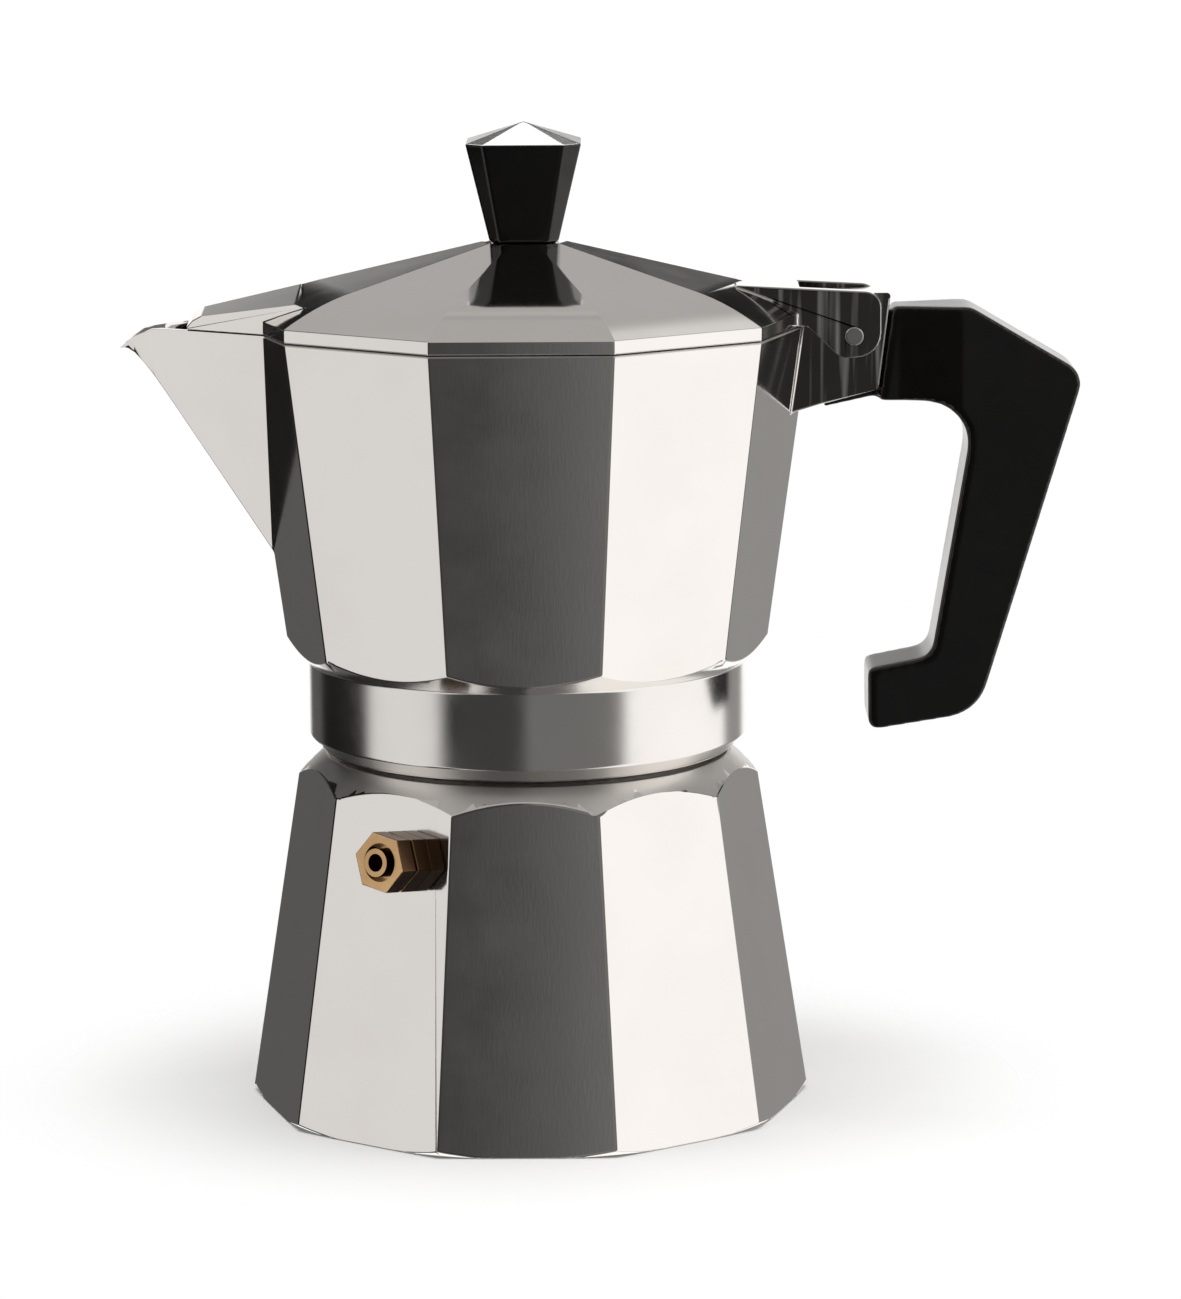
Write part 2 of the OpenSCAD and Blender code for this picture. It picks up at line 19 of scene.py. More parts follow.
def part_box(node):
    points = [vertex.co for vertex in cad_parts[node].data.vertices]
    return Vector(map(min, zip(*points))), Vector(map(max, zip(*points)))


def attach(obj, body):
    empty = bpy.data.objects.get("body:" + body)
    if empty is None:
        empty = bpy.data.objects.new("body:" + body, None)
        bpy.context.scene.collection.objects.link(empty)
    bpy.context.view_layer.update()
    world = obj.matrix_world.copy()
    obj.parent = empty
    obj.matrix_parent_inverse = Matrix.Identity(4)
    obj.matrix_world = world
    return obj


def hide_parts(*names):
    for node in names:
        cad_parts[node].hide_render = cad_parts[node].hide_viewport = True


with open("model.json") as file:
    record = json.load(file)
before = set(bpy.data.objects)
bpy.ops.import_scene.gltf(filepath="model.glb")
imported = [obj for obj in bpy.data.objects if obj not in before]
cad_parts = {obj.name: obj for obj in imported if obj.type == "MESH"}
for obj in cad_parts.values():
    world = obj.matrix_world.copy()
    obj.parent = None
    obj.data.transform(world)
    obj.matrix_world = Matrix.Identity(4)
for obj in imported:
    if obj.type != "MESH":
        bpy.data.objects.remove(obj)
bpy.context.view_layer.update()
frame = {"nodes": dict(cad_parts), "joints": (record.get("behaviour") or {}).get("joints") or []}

log = logging.getLogger("coffee_maker")

Colour = tuple[float, float, float]
FaceTest = Callable[[Vector, Vector], bool]

MM = 0.001
SIDES = 10
MERGE = 0.002 * MM  # corners closer than this are one corner
LEVEL_FOLD = 0.8  # folds under this many degrees inside a flat face are dissolved
LEAST_FOLD = 0.5  # folds under this many degrees don't count as folds
FLAT_SHARE = 0.3  # a flat face's neighbours are smaller than this share of it
FLAT_LEAST = 1.0 * MM * MM  # the least area of a flat face
SIDEWAYS = 0.98  # the least share of Y in the normal of a face that looks sideways

# Where a colour Mix node keeps its two colours and its result.
MIX_BASE, MIX_OTHER, MIX_RESULT = 6, 7, 2


# ---- Shared shader effects -------------------------------------------------------------------

class Marks(Enum):
    """Direction of a finish's fine tool marks, as how much the pattern is squeezed along X, Y and Z."""

    POLISHED = (1.0, 1.0, 0.12)
    TURNED = (0.02, 0.02, 5.0)
    CAST = (1.0, 1.0, 1.0)
    DRAWN = (1.0, 0.06, 1.0)


def new_socket(
    group: bpy.types.NodeTree, name: str, kind: str, value: object = None, out: bool = False
) -> None:
    """Adds a named input or output to a node group.

    Args:
        group: The node group.
        name: The socket's name.
        kind: Float, Vector or Geometry.
        value: The default, or None.
        out: True for an output.
    """
    way = "OUTPUT" if out else "INPUT"
    socket = group.interface.new_socket(name=name, in_out=way, socket_type=f"NodeSocket{kind}")
    if value is not None:
        socket.default_value = value


def marks_group() -> bpy.types.NodeTree:
    """Builds the group of fine tool marks: a stretched noise with a coarser one that breaks it up.

    Returns:
        A group with Scale, Stretch and Break inputs, and a Height output from 0 to 1.
    """
    group = bpy.data.node_groups.new("tool_marks", "ShaderNodeTree")
    new_socket(group, "Scale", "Float", 3000.0)
    new_socket(group, "Stretch", "Vector", (1.0, 1.0, 1.0))
    new_socket(group, "Break", "Float", 0.5)
    new_socket(group, "Height", "Float", out=True)
    nodes, links = group.nodes, group.links
    given = nodes.new("NodeGroupInput")
    result = nodes.new("NodeGroupOutput")
    place = nodes.new("ShaderNodeTexCoord")
    stretched = nodes.new("ShaderNodeVectorMath")
    stretched.operation = "MULTIPLY"
    fine = nodes.new("ShaderNodeTexNoise")
    fine.inputs["Detail"].default_value = 3.0
    fine.inputs["Roughness"].default_value = 0.65
    coarse = nodes.new("ShaderNodeTexNoise")
    coarse.inputs["Scale"].default_value = 240.0
    coarse.inputs["Detail"].default_value = 2.0
    blend = nodes.new("ShaderNodeMix")
    links.new(place.outputs["Object"], stretched.inputs[0])
    links.new(given.outputs["Stretch"], stretched.inputs[1])
    links.new(stretched.outputs[0], fine.inputs["Vector"])
    links.new(given.outputs["Scale"], fine.inputs["Scale"])
    links.new(place.outputs["Object"], coarse.inputs["Vector"])
    links.new(given.outputs["Break"], blend.inputs["Factor"])
    links.new(fine.outputs["Fac"], blend.inputs["A"])
    links.new(coarse.outputs["Fac"], blend.inputs["B"])
    links.new(blend.outputs["Result"], result.inputs["Height"])
    return group


def smudge_group() -> bpy.types.NodeTree:
    """Builds the group of soft cloudy marks that handling and washing leave.

    Returns:
        A group with Scale, From and To inputs, and a Mask output from 0 to 1.
    """
    group = bpy.data.node_groups.new("smudges", "ShaderNodeTree")
    new_socket(group, "Scale", "Float", 60.0)
    new_socket(group, "From", "Float", 0.45)
    new_socket(group, "To", "Float", 0.7)
    new_socket(group, "Mask", "Float", out=True)
    nodes, links = group.nodes, group.links
    given = nodes.new("NodeGroupInput")
    result = nodes.new("NodeGroupOutput")
    place = nodes.new("ShaderNodeTexCoord")
    cloud = nodes.new("ShaderNodeTexNoise")
    cloud.inputs["Detail"].default_value = 5.0
    cloud.inputs["Roughness"].default_value = 0.6
    reach = nodes.new("ShaderNodeMapRange")
    links.new(place.outputs["Object"], cloud.inputs["Vector"])
    links.new(given.outputs["Scale"], cloud.inputs["Scale"])
    links.new(cloud.outputs["Fac"], reach.inputs["Value"])
    links.new(given.outputs["From"], reach.inputs["From Min"])
    links.new(given.outputs["To"], reach.inputs["From Max"])
    links.new(reach.outputs["Result"], result.inputs["Mask"])
    return group


def scratch_group() -> bpy.types.NodeTree:
    """Builds the group of fine straight scratches in two slanting directions.

    Returns:
        A group with Scale, Slant and Width inputs, and a Mask output that is 1 on a scratch.
    """
    crest = 0.78
    group = bpy.data.node_groups.new("scratches", "ShaderNodeTree")
    new_socket(group, "Scale", "Float", 900.0)
    new_socket(group, "Slant", "Float", 0.7)
    new_socket(group, "Width", "Float", 0.06)
    new_socket(group, "Mask", "Float", out=True)
    nodes, links = group.nodes, group.links
    given = nodes.new("NodeGroupInput")
    result = nodes.new("NodeGroupOutput")
    place = nodes.new("ShaderNodeTexCoord")
    both = nodes.new("ShaderNodeMath")
    both.operation = "MAXIMUM"
    for side, way in enumerate((1.0, -0.8)):
        slant = nodes.new("ShaderNodeMath")
        slant.operation = "MULTIPLY"
        slant.inputs[1].default_value = way
        turn = nodes.new("ShaderNodeCombineXYZ")
        turned = nodes.new("ShaderNodeMapping")
        turned.inputs["Scale"].default_value = (1.0, 1.0, 0.04)
        line = nodes.new("ShaderNodeTexNoise")
        line.inputs["Detail"].default_value = 1.0
        thin = nodes.new("ShaderNodeMapRange")
        thin.inputs["From Max"].default_value = crest
        low = nodes.new("ShaderNodeMath")
        low.operation = "SUBTRACT"
        low.inputs[0].default_value = crest
        links.new(given.outputs["Slant"], slant.inputs[0])
        links.new(slant.outputs[0], turn.inputs["Y"])
        links.new(turn.outputs[0], turned.inputs["Rotation"])
        links.new(place.outputs["Object"], turned.inputs["Vector"])
        links.new(turned.outputs[0], line.inputs["Vector"])
        links.new(given.outputs["Scale"], line.inputs["Scale"])
        links.new(given.outputs["Width"], low.inputs[1])
        links.new(low.outputs[0], thin.inputs["From Min"])
        links.new(line.outputs["Fac"], thin.inputs["Value"])
        links.new(thin.outputs["Result"], both.inputs[side])
    links.new(both.outputs[0], result.inputs["Mask"])
    return group


class Effects:
    """The shared effects, built once."""

    def __init__(self) -> None:
        """Builds every group."""
        self.marks = marks_group()
        self.smudges = smudge_group()
        self.scratches = scratch_group()


EFFECTS = Effects()


@dataclass
class Shader:
    """A material's node tree while it is being wired."""

    material: bpy.types.Material

    @property
    def surface(self) -> bpy.types.Node:
        """The material's Principled shader."""
        return self.material.node_tree.nodes["Principled BSDF"]

    def add(self, kind: str, **values: object) -> bpy.types.Node:
        """Adds a node and sets its inputs.

        Args:
            kind: The node's type.
            **values: Its inputs by name, with an underscore for a space.

        Returns:
            The node.
        """
        node = self.material.node_tree.nodes.new(kind)
        for name, value in values.items():
            node.inputs[name.replace("_", " ")].default_value = value
        return node

    def effect(self, group: bpy.types.NodeTree, **values: object) -> bpy.types.Node:
        """Places a shared effect with its own values.

        Args:
            group: The effect's node group.
            **values: Its inputs by name.

        Returns:
            The group node.
        """
        node = self.material.node_tree.nodes.new("ShaderNodeGroup")
        node.node_tree = group
        for name, value in values.items():
            node.inputs[name].default_value = value
        return node

    def link(self, a: bpy.types.NodeSocket, b: bpy.types.NodeSocket) -> None:
        """Links an output to an input."""
        self.material.node_tree.links.new(a, b)

    def vary(self, mask: bpy.types.NodeSocket, low: float, high: float) -> bpy.types.NodeSocket:
        """Maps a mask from 0..1 to low..high.

        Args:
            mask: The mask's output socket.
            low: The value where the mask is 0.
            high: The value where it is 1.

        Returns:
            The mapped output socket.
        """
        node = self.add("ShaderNodeMapRange", To_Min=low, To_Max=high)
        self.link(mask, node.inputs["Value"])
        return node.outputs["Result"]

    def tint(self, mask: bpy.types.NodeSocket, base: object, other: Colour) -> bpy.types.NodeSocket:
        """Mixes from base to another colour by a mask.

        Args:
            mask: The mask's output socket.
            base: A colour, or a colour's output socket.
            other: The colour where the mask is 1.

        Returns:
            The mixed colour's output socket.
        """
        node = self.add("ShaderNodeMix")
        node.data_type = "RGBA"
        if isinstance(base, bpy.types.NodeSocket):
            self.link(base, node.inputs[MIX_BASE])
        else:
            node.inputs[MIX_BASE].default_value = (*base, 1.0)
        node.inputs[MIX_OTHER].default_value = (*other, 1.0)
        self.link(mask, node.inputs["Factor"])
        return node.outputs[MIX_RESULT]

    def bump(self, height: bpy.types.NodeSocket, depth: float, under: object = None) -> bpy.types.NodeSocket:
        """Turns a height into a normal.

        Args:
            height: The height's output socket.
            depth: The depth of a height of 1, in metres; negative to sink.
            under: The normal to start from, or None.

        Returns:
            The normal's output socket.
        """
        node = self.add("ShaderNodeBump", Distance=depth, Strength=1.0)
        self.link(height, node.inputs["Height"])
        if under is not None:
            self.link(under, node.inputs["Normal"])
        return node.outputs["Normal"]


# ---- Finishes --------------------------------------------------------------------------------

@dataclass(frozen=True)
class MetalFinish:
    """A bare metal surface with tool marks, smudges, tarnish and, at a scratch depth above 0, scratches.

    Attributes:
        name: The material's name.
        colour: The clean metal.
        tarnish: The tarnished metal.
        roughness: Its least roughness.
        spread: How much rougher it is where it is cloudy.
        marks: Direction of the tool marks.
        marks_scale: How fine the marks are.
        marks_depth: Their depth in metres.
        tarnish_amount: Share of the tarnish at its heaviest.
        scratch_depth: The scratches' depth in metres.
        scratch_scale: How fine the scratches are.
        scratch_colour: The bare metal in a scratch.
    """

    name: str
    colour: Colour
    tarnish: Colour
    roughness: float
    spread: float
    marks: Marks
    marks_scale: float
    marks_depth: float
    tarnish_amount: float = 0.2
    scratch_depth: float = 0.0
    scratch_scale: float = 700.0
    scratch_colour: Colour = (0.85, 0.82, 0.79)

    def build(self) -> bpy.types.Material:
        """Builds the material.

        Returns:
            The new material.
        """
        material = bpy.data.materials.new(self.name)
        material.use_nodes = True
        shader = Shader(material)
        surface = shader.surface
        surface.inputs["Metallic"].default_value = 1.0
        marks = shader.effect(EFFECTS.marks, Scale=self.marks_scale, Stretch=self.marks.value, Break=0.25)
        smudges = shader.effect(EFFECTS.smudges, Scale=45.0, From=0.42, To=0.72)
        dirt = shader.vary(smudges.outputs["Mask"], 0.0, self.tarnish_amount)
        colour = shader.tint(dirt, self.colour, self.tarnish)
        clouds = shader.effect(EFFECTS.smudges, Scale=110.0, From=0.3, To=0.75)
        rough = shader.vary(clouds.outputs["Mask"], self.roughness, self.roughness + self.spread)
        normal = shader.bump(marks.outputs["Height"], self.marks_depth)
        if self.scratch_depth > 0:
            scratches = shader.effect(EFFECTS.scratches, Scale=self.scratch_scale, Slant=0.7, Width=0.19)
            normal = shader.bump(scratches.outputs["Mask"], -self.scratch_depth, normal)
            colour = shader.tint(scratches.outputs["Mask"], colour, self.scratch_colour)
        shader.link(colour, surface.inputs["Base Color"])
        shader.link(rough, surface.inputs["Roughness"])
        shader.link(normal, surface.inputs["Normal"])
        return material


@dataclass(frozen=True)
class MouldedFinish:
    """A moulded plastic or rubber surface: a faint mottle, a fine skin and handling marks.

    Attributes:
        name: The material's name.
        colour: The plain colour.
        mottle: The colour it is mottled with.
        roughness: Its least roughness.
        spread: How much rougher it is where it was handled.
        skin_scale: How fine the skin is.
        skin_depth: The skin's depth in metres.
    """

    name: str
    colour: Colour
    mottle: Colour
    roughness: float
    spread: float
    skin_scale: float
    skin_depth: float

    def build(self) -> bpy.types.Material:
        """Builds the material.

        Returns:
            The new material.
        """
        material = bpy.data.materials.new(self.name)
        material.use_nodes = True
        shader = Shader(material)
        surface = shader.surface
        mottle = shader.effect(EFFECTS.smudges, Scale=260.0, From=0.35, To=0.7)
        colour = shader.tint(mottle.outputs["Mask"], self.colour, self.mottle)
        shader.link(colour, surface.inputs["Base Color"])
        hands = shader.effect(EFFECTS.smudges, Scale=55.0, From=0.35, To=0.75)
        rough = shader.vary(hands.outputs["Mask"], self.roughness, self.roughness + self.spread)
        shader.link(rough, surface.inputs["Roughness"])
        skin = shader.effect(EFFECTS.marks, Scale=self.skin_scale, Stretch=Marks.CAST.value, Break=0.4)
        shader.link(shader.bump(skin.outputs["Height"], self.skin_depth), surface.inputs["Normal"])
        return material


POLISHED_ALUMINIUM = MetalFinish(
    "polished_aluminium", colour=(0.90, 0.872, 0.845), tarnish=(0.74, 0.70, 0.67),
    roughness=0.065, spread=0.05, marks=Marks.POLISHED, marks_scale=2600.0, marks_depth=0.0015 * MM,
)
TURNED_ALUMINIUM = MetalFinish(
    "turned_aluminium", colour=(0.88, 0.855, 0.83), tarnish=(0.66, 0.63, 0.60),
    roughness=0.14, spread=0.08, marks=Marks.TURNED, marks_scale=2200.0, marks_depth=0.006 * MM,
)
SATIN_ALUMINIUM = MetalFinish(
    "satin_aluminium", colour=(0.86, 0.83, 0.80), tarnish=(0.66, 0.63, 0.60),
    roughness=0.33, spread=0.08, marks=Marks.TURNED, marks_scale=2000.0, marks_depth=0.006 * MM,
)
# Painted shade: near-black aluminium for the dark reflection on the hinge's flat sides; its scratches show
# the metal's own colour.
SHADED_SCRATCHED_ALUMINIUM = MetalFinish(
    "shaded_scratched_aluminium", colour=(0.13, 0.125, 0.12), tarnish=(0.07, 0.066, 0.062),
    roughness=0.16, spread=0.10, marks=Marks.CAST, marks_scale=1800.0, marks_depth=0.004 * MM,
    scratch_depth=0.01 * MM,
)
CAST_ALUMINIUM = MetalFinish(
    "cast_aluminium", colour=(0.72, 0.70, 0.68), tarnish=(0.50, 0.48, 0.46),
    roughness=0.42, spread=0.14, marks=Marks.CAST, marks_scale=900.0, marks_depth=0.03 * MM,
)
PRESSED_ALUMINIUM = MetalFinish(
    "pressed_aluminium", colour=(0.80, 0.785, 0.765), tarnish=(0.60, 0.58, 0.56),
    roughness=0.27, spread=0.12, marks=Marks.TURNED, marks_scale=1400.0, marks_depth=0.008 * MM,
)
TURNED_BRASS = MetalFinish(
    "turned_brass", colour=(0.80, 0.53, 0.27), tarnish=(0.36, 0.19, 0.08),
    roughness=0.20, spread=0.14, marks=Marks.CAST, marks_scale=1600.0, marks_depth=0.006 * MM,
    tarnish_amount=0.75,
)
# Painted shade: dark brass for the shade on the valve's sides, with random tarnish on top.
SHADED_TARNISHED_BRASS = MetalFinish(
    "shaded_tarnished_brass", colour=(0.13, 0.068, 0.032), tarnish=(0.05, 0.026, 0.013),
    roughness=0.24, spread=0.14, marks=Marks.CAST, marks_scale=1600.0, marks_depth=0.006 * MM,
    tarnish_amount=0.9,
)
BRIGHT_STEEL = MetalFinish(
    "bright_steel", colour=(0.62, 0.61, 0.60), tarnish=(0.42, 0.40, 0.38),
    roughness=0.18, spread=0.12, marks=Marks.DRAWN, marks_scale=1800.0, marks_depth=0.005 * MM,
)
BLACK_BAKELITE = MouldedFinish(
    "black_bakelite", colour=(0.0042, 0.0037, 0.0032), mottle=(0.0065, 0.0058, 0.0050),
    roughness=0.13, spread=0.10, skin_scale=900.0, skin_depth=0.003 * MM,
)
GASKET_RUBBER = MouldedFinish(
    "gasket_rubber", colour=(0.72, 0.69, 0.62), mottle=(0.60, 0.56, 0.48),
    roughness=0.55, spread=0.15, skin_scale=1400.0, skin_depth=0.015 * MM,
)
SEAL_RUBBER = MouldedFinish(
    "seal_rubber", colour=(0.02, 0.02, 0.02), mottle=(0.04, 0.038, 0.036),
    roughness=0.6, spread=0.1, skin_scale=1400.0, skin_depth=0.015 * MM,
)


# ---- Mesh helpers ----------------------------------------------------------------------------

def mesh_object(name: str, mesh: bpy.types.Mesh) -> bpy.types.Object:
    """Makes an object at the origin and puts it in the scene.

    Args:
        name: The object's name, which its mesh takes too.
        mesh: Its mesh.

    Returns:
        The object.
    """
    mesh.name = name
    obj = bpy.data.objects.new(name, mesh)
    bpy.context.scene.collection.objects.link(obj)
    return obj


def settle(obj: bpy.types.Object) -> None:
    """Turns an object's modifiers into its mesh and removes them.

    Args:
        obj: The object.
    """
    graph = bpy.context.evaluated_depsgraph_get()
    mesh = bpy.data.meshes.new_from_object(obj.evaluated_get(graph), depsgraph=graph)
    obj.modifiers.clear()
    obj.data = mesh
    mesh.name = obj.name


@dataclass(frozen=True)
class EdgeStyle:
    """How a solid's sharp edges are eased.

    Attributes:
        width: Width of the eased strip.
        above: Edges that fold by more than this many degrees are eased.
        shortest: Edges shorter than this stay sharp.
        segments: Steps across the strip.
        crisp: Folds of more than this many degrees that are left stay crisp.
    """

    width: float
    above: float = 25.0
    shortest: float = 0.9 * MM
    segments: int = 3
    crisp: float = 22.0


def merged_copy(node: str) -> bmesh.types.BMesh:
    """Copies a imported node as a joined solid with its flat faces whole.

    Args:
        node: The node's name.

    Returns:
        The copy.
    """
    solid = bmesh.new()
    solid.from_mesh(frame["nodes"][node].data)
    bmesh.ops.remove_doubles(solid, verts=solid.verts, dist=MERGE)
    limit = math.radians(LEVEL_FOLD)
    bmesh.ops.dissolve_limit(solid, angle_limit=limit, verts=solid.verts, edges=solid.edges)
    return solid


def eased(node: str, name: str, style: EdgeStyle) -> bpy.types.Object:
    """Copies a node and eases its sharp edges.

    Args:
        node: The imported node.
        name: The new piece's name.
        style: How the edges are eased.

    Returns:
        The new piece, smoothly shaded.
    """
    solid = merged_copy(node)
    weight = solid.edges.layers.float.new("bevel_weight_edge")
    for edge in solid.edges:
        folded = edge.is_manifold and edge.calc_face_angle(0.0) > math.radians(style.above)
        edge[weight] = 1.0 if folded and edge.calc_length() > style.shortest else 0.0
    mesh = bpy.data.meshes.new(name)
    solid.to_mesh(mesh)
    solid.free()
    piece = mesh_object(name, mesh)
    ease = piece.modifiers.new("ease", "BEVEL")
    ease.limit_method = "WEIGHT"
    ease.width = style.width
    ease.segments = style.segments
    ease.use_clamp_overlap = False
    ease.face_strength_mode = "FSTR_ALL"
    settle(piece)
    shade(piece, style.crisp)
    return piece


def flat_faces(mesh: bpy.types.Mesh, sharp: float) -> set[int]:
    """Finds the faces that are flat on the real piece.

    A face counts as flat when each neighbour that it folds gently into is much smaller than it, as an
    eased edge is. A strip of a round surface has neighbours of its own size.

    Args:
        mesh: The mesh.
        sharp: The fold in degrees from which an edge is crisp.

    Returns:
        The flat faces' indices.
    """
    solid = bmesh.new()
    solid.from_mesh(mesh)
    flat = set()
    for face in solid.faces:
        area = face.calc_area()
        folds = ((edge, math.degrees(edge.calc_face_angle(0.0))) for edge in face.edges if edge.is_manifold)
        gentle = (edge for edge, fold in folds if LEAST_FOLD < fold < sharp)
        others = (other for edge in gentle for other in edge.link_faces if other is not face)
        if area > FLAT_LEAST and all(other.calc_area() < FLAT_SHARE * area for other in others):
            flat.add(face.index)
    solid.free()
    return flat


def shade(piece: bpy.types.Object, sharp: float) -> None:
    """Shades a piece smoothly, except at folds above an angle, with flat faces kept flat.

    Args:
        piece: The piece.
        sharp: The angle in degrees.
    """
    for face in piece.data.polygons:
        face.use_smooth = True
    piece.data.set_sharp_from_angle(angle=math.radians(sharp))
    flatten = piece.modifiers.new("flatten", "WEIGHTED_NORMAL")
    flatten.keep_sharp = True
    flatten.use_face_influence = True
    flatten.weight = 100
    settle(piece)
    mesh = piece.data
    normals = [Vector(corner.vector) for corner in mesh.corner_normals]
    for index in flat_faces(mesh, sharp):
        face = mesh.polygons[index]
        for corner in face.loop_indices:
            normals[corner] = Vector(face.normal)
    mesh.normals_split_custom_set(normals)


def moulded(node: str, name: str, grain: float, rounds: int) -> bpy.types.Object:
    """Copies a node as a moulding whose every edge is rounded.

    Args:
        node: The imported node.
        name: The new piece's name.
        grain: Size of the mesh's faces.
        rounds: Passes of smoothing, which set the edges' radius.

    Returns:
        The new piece.
    """
    solid = merged_copy(node)
    mesh = bpy.data.meshes.new(name)
    solid.to_mesh(mesh)
    solid.free()
    piece = mesh_object(name, mesh)
    even = piece.modifiers.new("even", "REMESH")
    even.mode = "VOXEL"
    even.voxel_size = grain
    even.use_smooth_shade = True
    soft = piece.modifiers.new("soft", "SMOOTH")
    soft.factor = 0.5
    soft.iterations = rounds
    settle(piece)
    return piece


def paint(
    piece: bpy.types.Object, base: bpy.types.Material, *parts: tuple[bpy.types.Material, FaceTest]
) -> None:
    """Gives a piece its base material, and other materials where a test of a face says so.

    Args:
        piece: The piece.
        base: The material everywhere else.
        *parts: Pairs of a material and a test of a face's centre and normal.
    """
    piece.data.materials.clear()
    for material in (base, *(m for m, _ in parts)):
        piece.data.materials.append(material)
    for face in piece.data.polygons:
        face.material_index = 0
        for index, (_, test) in enumerate(parts, 1):
            if test(face.center, face.normal):
                face.material_index = index


def stand_for(piece: bpy.types.Object, node: str, body: str) -> bpy.types.Object:
    """Puts a finished piece in a node's place, on its body.

    Args:
        piece: The piece.
        node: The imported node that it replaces.
        body: The body that carries it.

    Returns:
        The piece.
    """
    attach(piece, body)
    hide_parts(node)
    log.info("%s: %d faces on %s, for %s", piece.name, len(piece.data.polygons), body, node)
    return piece


def dress(node: str, material: bpy.types.Material) -> None:
    """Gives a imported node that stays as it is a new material.

    Args:
        node: The node's name.
        material: The material.
    """
    obj = frame["nodes"][node]
    obj.data.materials.clear()
    obj.data.materials.append(material)
    log.info("%s: kept, in %s", node, material.name)


def radius(point: Vector) -> float:
    """A point's distance from the pot's axis."""
    return math.hypot(point.x, point.y)


def widest(node: str, low: float, high: float) -> float:
    """The greatest radius of a node's points between two heights."""
    return max(radius(v.co) for v in frame["nodes"][node].data.vertices if low <= v.co.z <= high)


@dataclass(frozen=True)
class Prism:
    """A tapered ten-sided outside, by its corner radius at two heights."""

    low: float
    low_corner: float
    high: float
    high_corner: float

    def depth(self, point: Vector) -> float:
        """How far a point is behind the flats, measured level.

        Args:
            point: The point.

        Returns:
            The distance, below 0 outside.
        """
        along = (point.z - self.low) / (self.high - self.low)
        corner = self.low_corner + (self.high_corner - self.low_corner) * along
        step = 2 * math.pi / SIDES
        turn = (round(math.atan2(point.y, point.x) / step - 0.5) + 0.5) * step
        return corner * math.cos(step / 2) - (point.x * math.cos(turn) + point.y * math.sin(turn))


# ---- Materials in use ------------------------------------------------------------------------

@dataclass
class Palette:
    """Every material, built once."""

    polished: bpy.types.Material = field(default_factory=POLISHED_ALUMINIUM.build)
    turned: bpy.types.Material = field(default_factory=TURNED_ALUMINIUM.build)
    satin: bpy.types.Material = field(default_factory=SATIN_ALUMINIUM.build)
    # Painted shade on the hinge's flat sides, with real scratches.
    shaded_scratched: bpy.types.Material = field(default_factory=SHADED_SCRATCHED_ALUMINIUM.build)
    # Painted shade on the valve's sides, with random tarnish.
    shaded_tarnished_brass: bpy.types.Material = field(default_factory=SHADED_TARNISHED_BRASS.build)
    cast: bpy.types.Material = field(default_factory=CAST_ALUMINIUM.build)
    pressed: bpy.types.Material = field(default_factory=PRESSED_ALUMINIUM.build)
    brass: bpy.types.Material = field(default_factory=TURNED_BRASS.build)
    steel: bpy.types.Material = field(default_factory=BRIGHT_STEEL.build)
    bakelite: bpy.types.Material = field(default_factory=BLACK_BAKELITE.build)
    gasket: bpy.types.Material = field(default_factory=GASKET_RUBBER.build)
    seal: bpy.types.Material = field(default_factory=SEAL_RUBBER.build)


# ---- Geometry Nodes --------------------------------------------------------------------------

TURN_STEPS = 28  # steps in one turn of a spring
WIRE_STEPS = 10  # steps round its wire
RIM_STEPS = 16  # steps round a hole's rim
LIP_STEPS = 6  # steps round the lip of that rim
LIP = 0.12 * MM  # the lip's radius
RING_STEP = 6  # holes that each ring has more than the one inside it


class GeometryTree:
    """A Geometry Nodes tree with named inputs, built step by step."""

    def __init__(self, name: str, **inputs: float) -> None:
        """Starts a tree.

        Args:
            name: The tree's name.
            **inputs: Its float inputs and their values.
        """
        self.tree = bpy.data.node_groups.new(name, "GeometryNodeTree")
        self.values = inputs
        for label in inputs:
            new_socket(self.tree, label, "Float", 0.0)
        new_socket(self.tree, "Geometry", "Geometry", out=True)
        self.given = self.tree.nodes.new("NodeGroupInput")

    def add(self, kind: str, **settings: object) -> bpy.types.Node:
        """Adds a node and sets its properties.

        Args:
            kind: The node's type.
            **settings: Its properties by name.

        Returns:
            The node.
        """
        node = self.tree.nodes.new(kind)
        for name, value in settings.items():
            setattr(node, name, value)
        return node

    def link(self, a: bpy.types.NodeSocket, b: bpy.types.NodeSocket) -> None:
        """Links an output to an input."""
        self.tree.links.new(a, b)

    def feed(self, label: str, *sockets: bpy.types.NodeSocket) -> None:
        """Feeds a named input to some sockets."""
        for socket in sockets:
            self.link(self.given.outputs[label], socket)

    def finish(
        self, last: bpy.types.NodeSocket, name: str, material: bpy.types.Material
    ) -> bpy.types.Object:
        """Ends the tree, runs it once and keeps the mesh.

        Args:
            last: The geometry's output socket.
            name: The new piece's name.
            material: Its material.

        Returns:
            The new piece, as a plain mesh.
        """
        realise = self.add("GeometryNodeRealizeInstances")
        finish = self.add("GeometryNodeSetMaterial")
        finish.inputs["Material"].default_value = material
        result = self.add("NodeGroupOutput")
        self.link(last, realise.inputs[0])
        self.link(realise.outputs[0], finish.inputs["Geometry"])
        self.link(finish.outputs[0], result.inputs["Geometry"])
        piece = mesh_object(name, bpy.data.meshes.new(name))
        modifier = piece.modifiers.new(name, "NODES")
        modifier.node_group = self.tree
        for item in self.tree.interface.items_tree:
            if item.in_out == "INPUT":
                modifier[item.identifier] = float(self.values[item.name])
        settle(piece)
        return piece


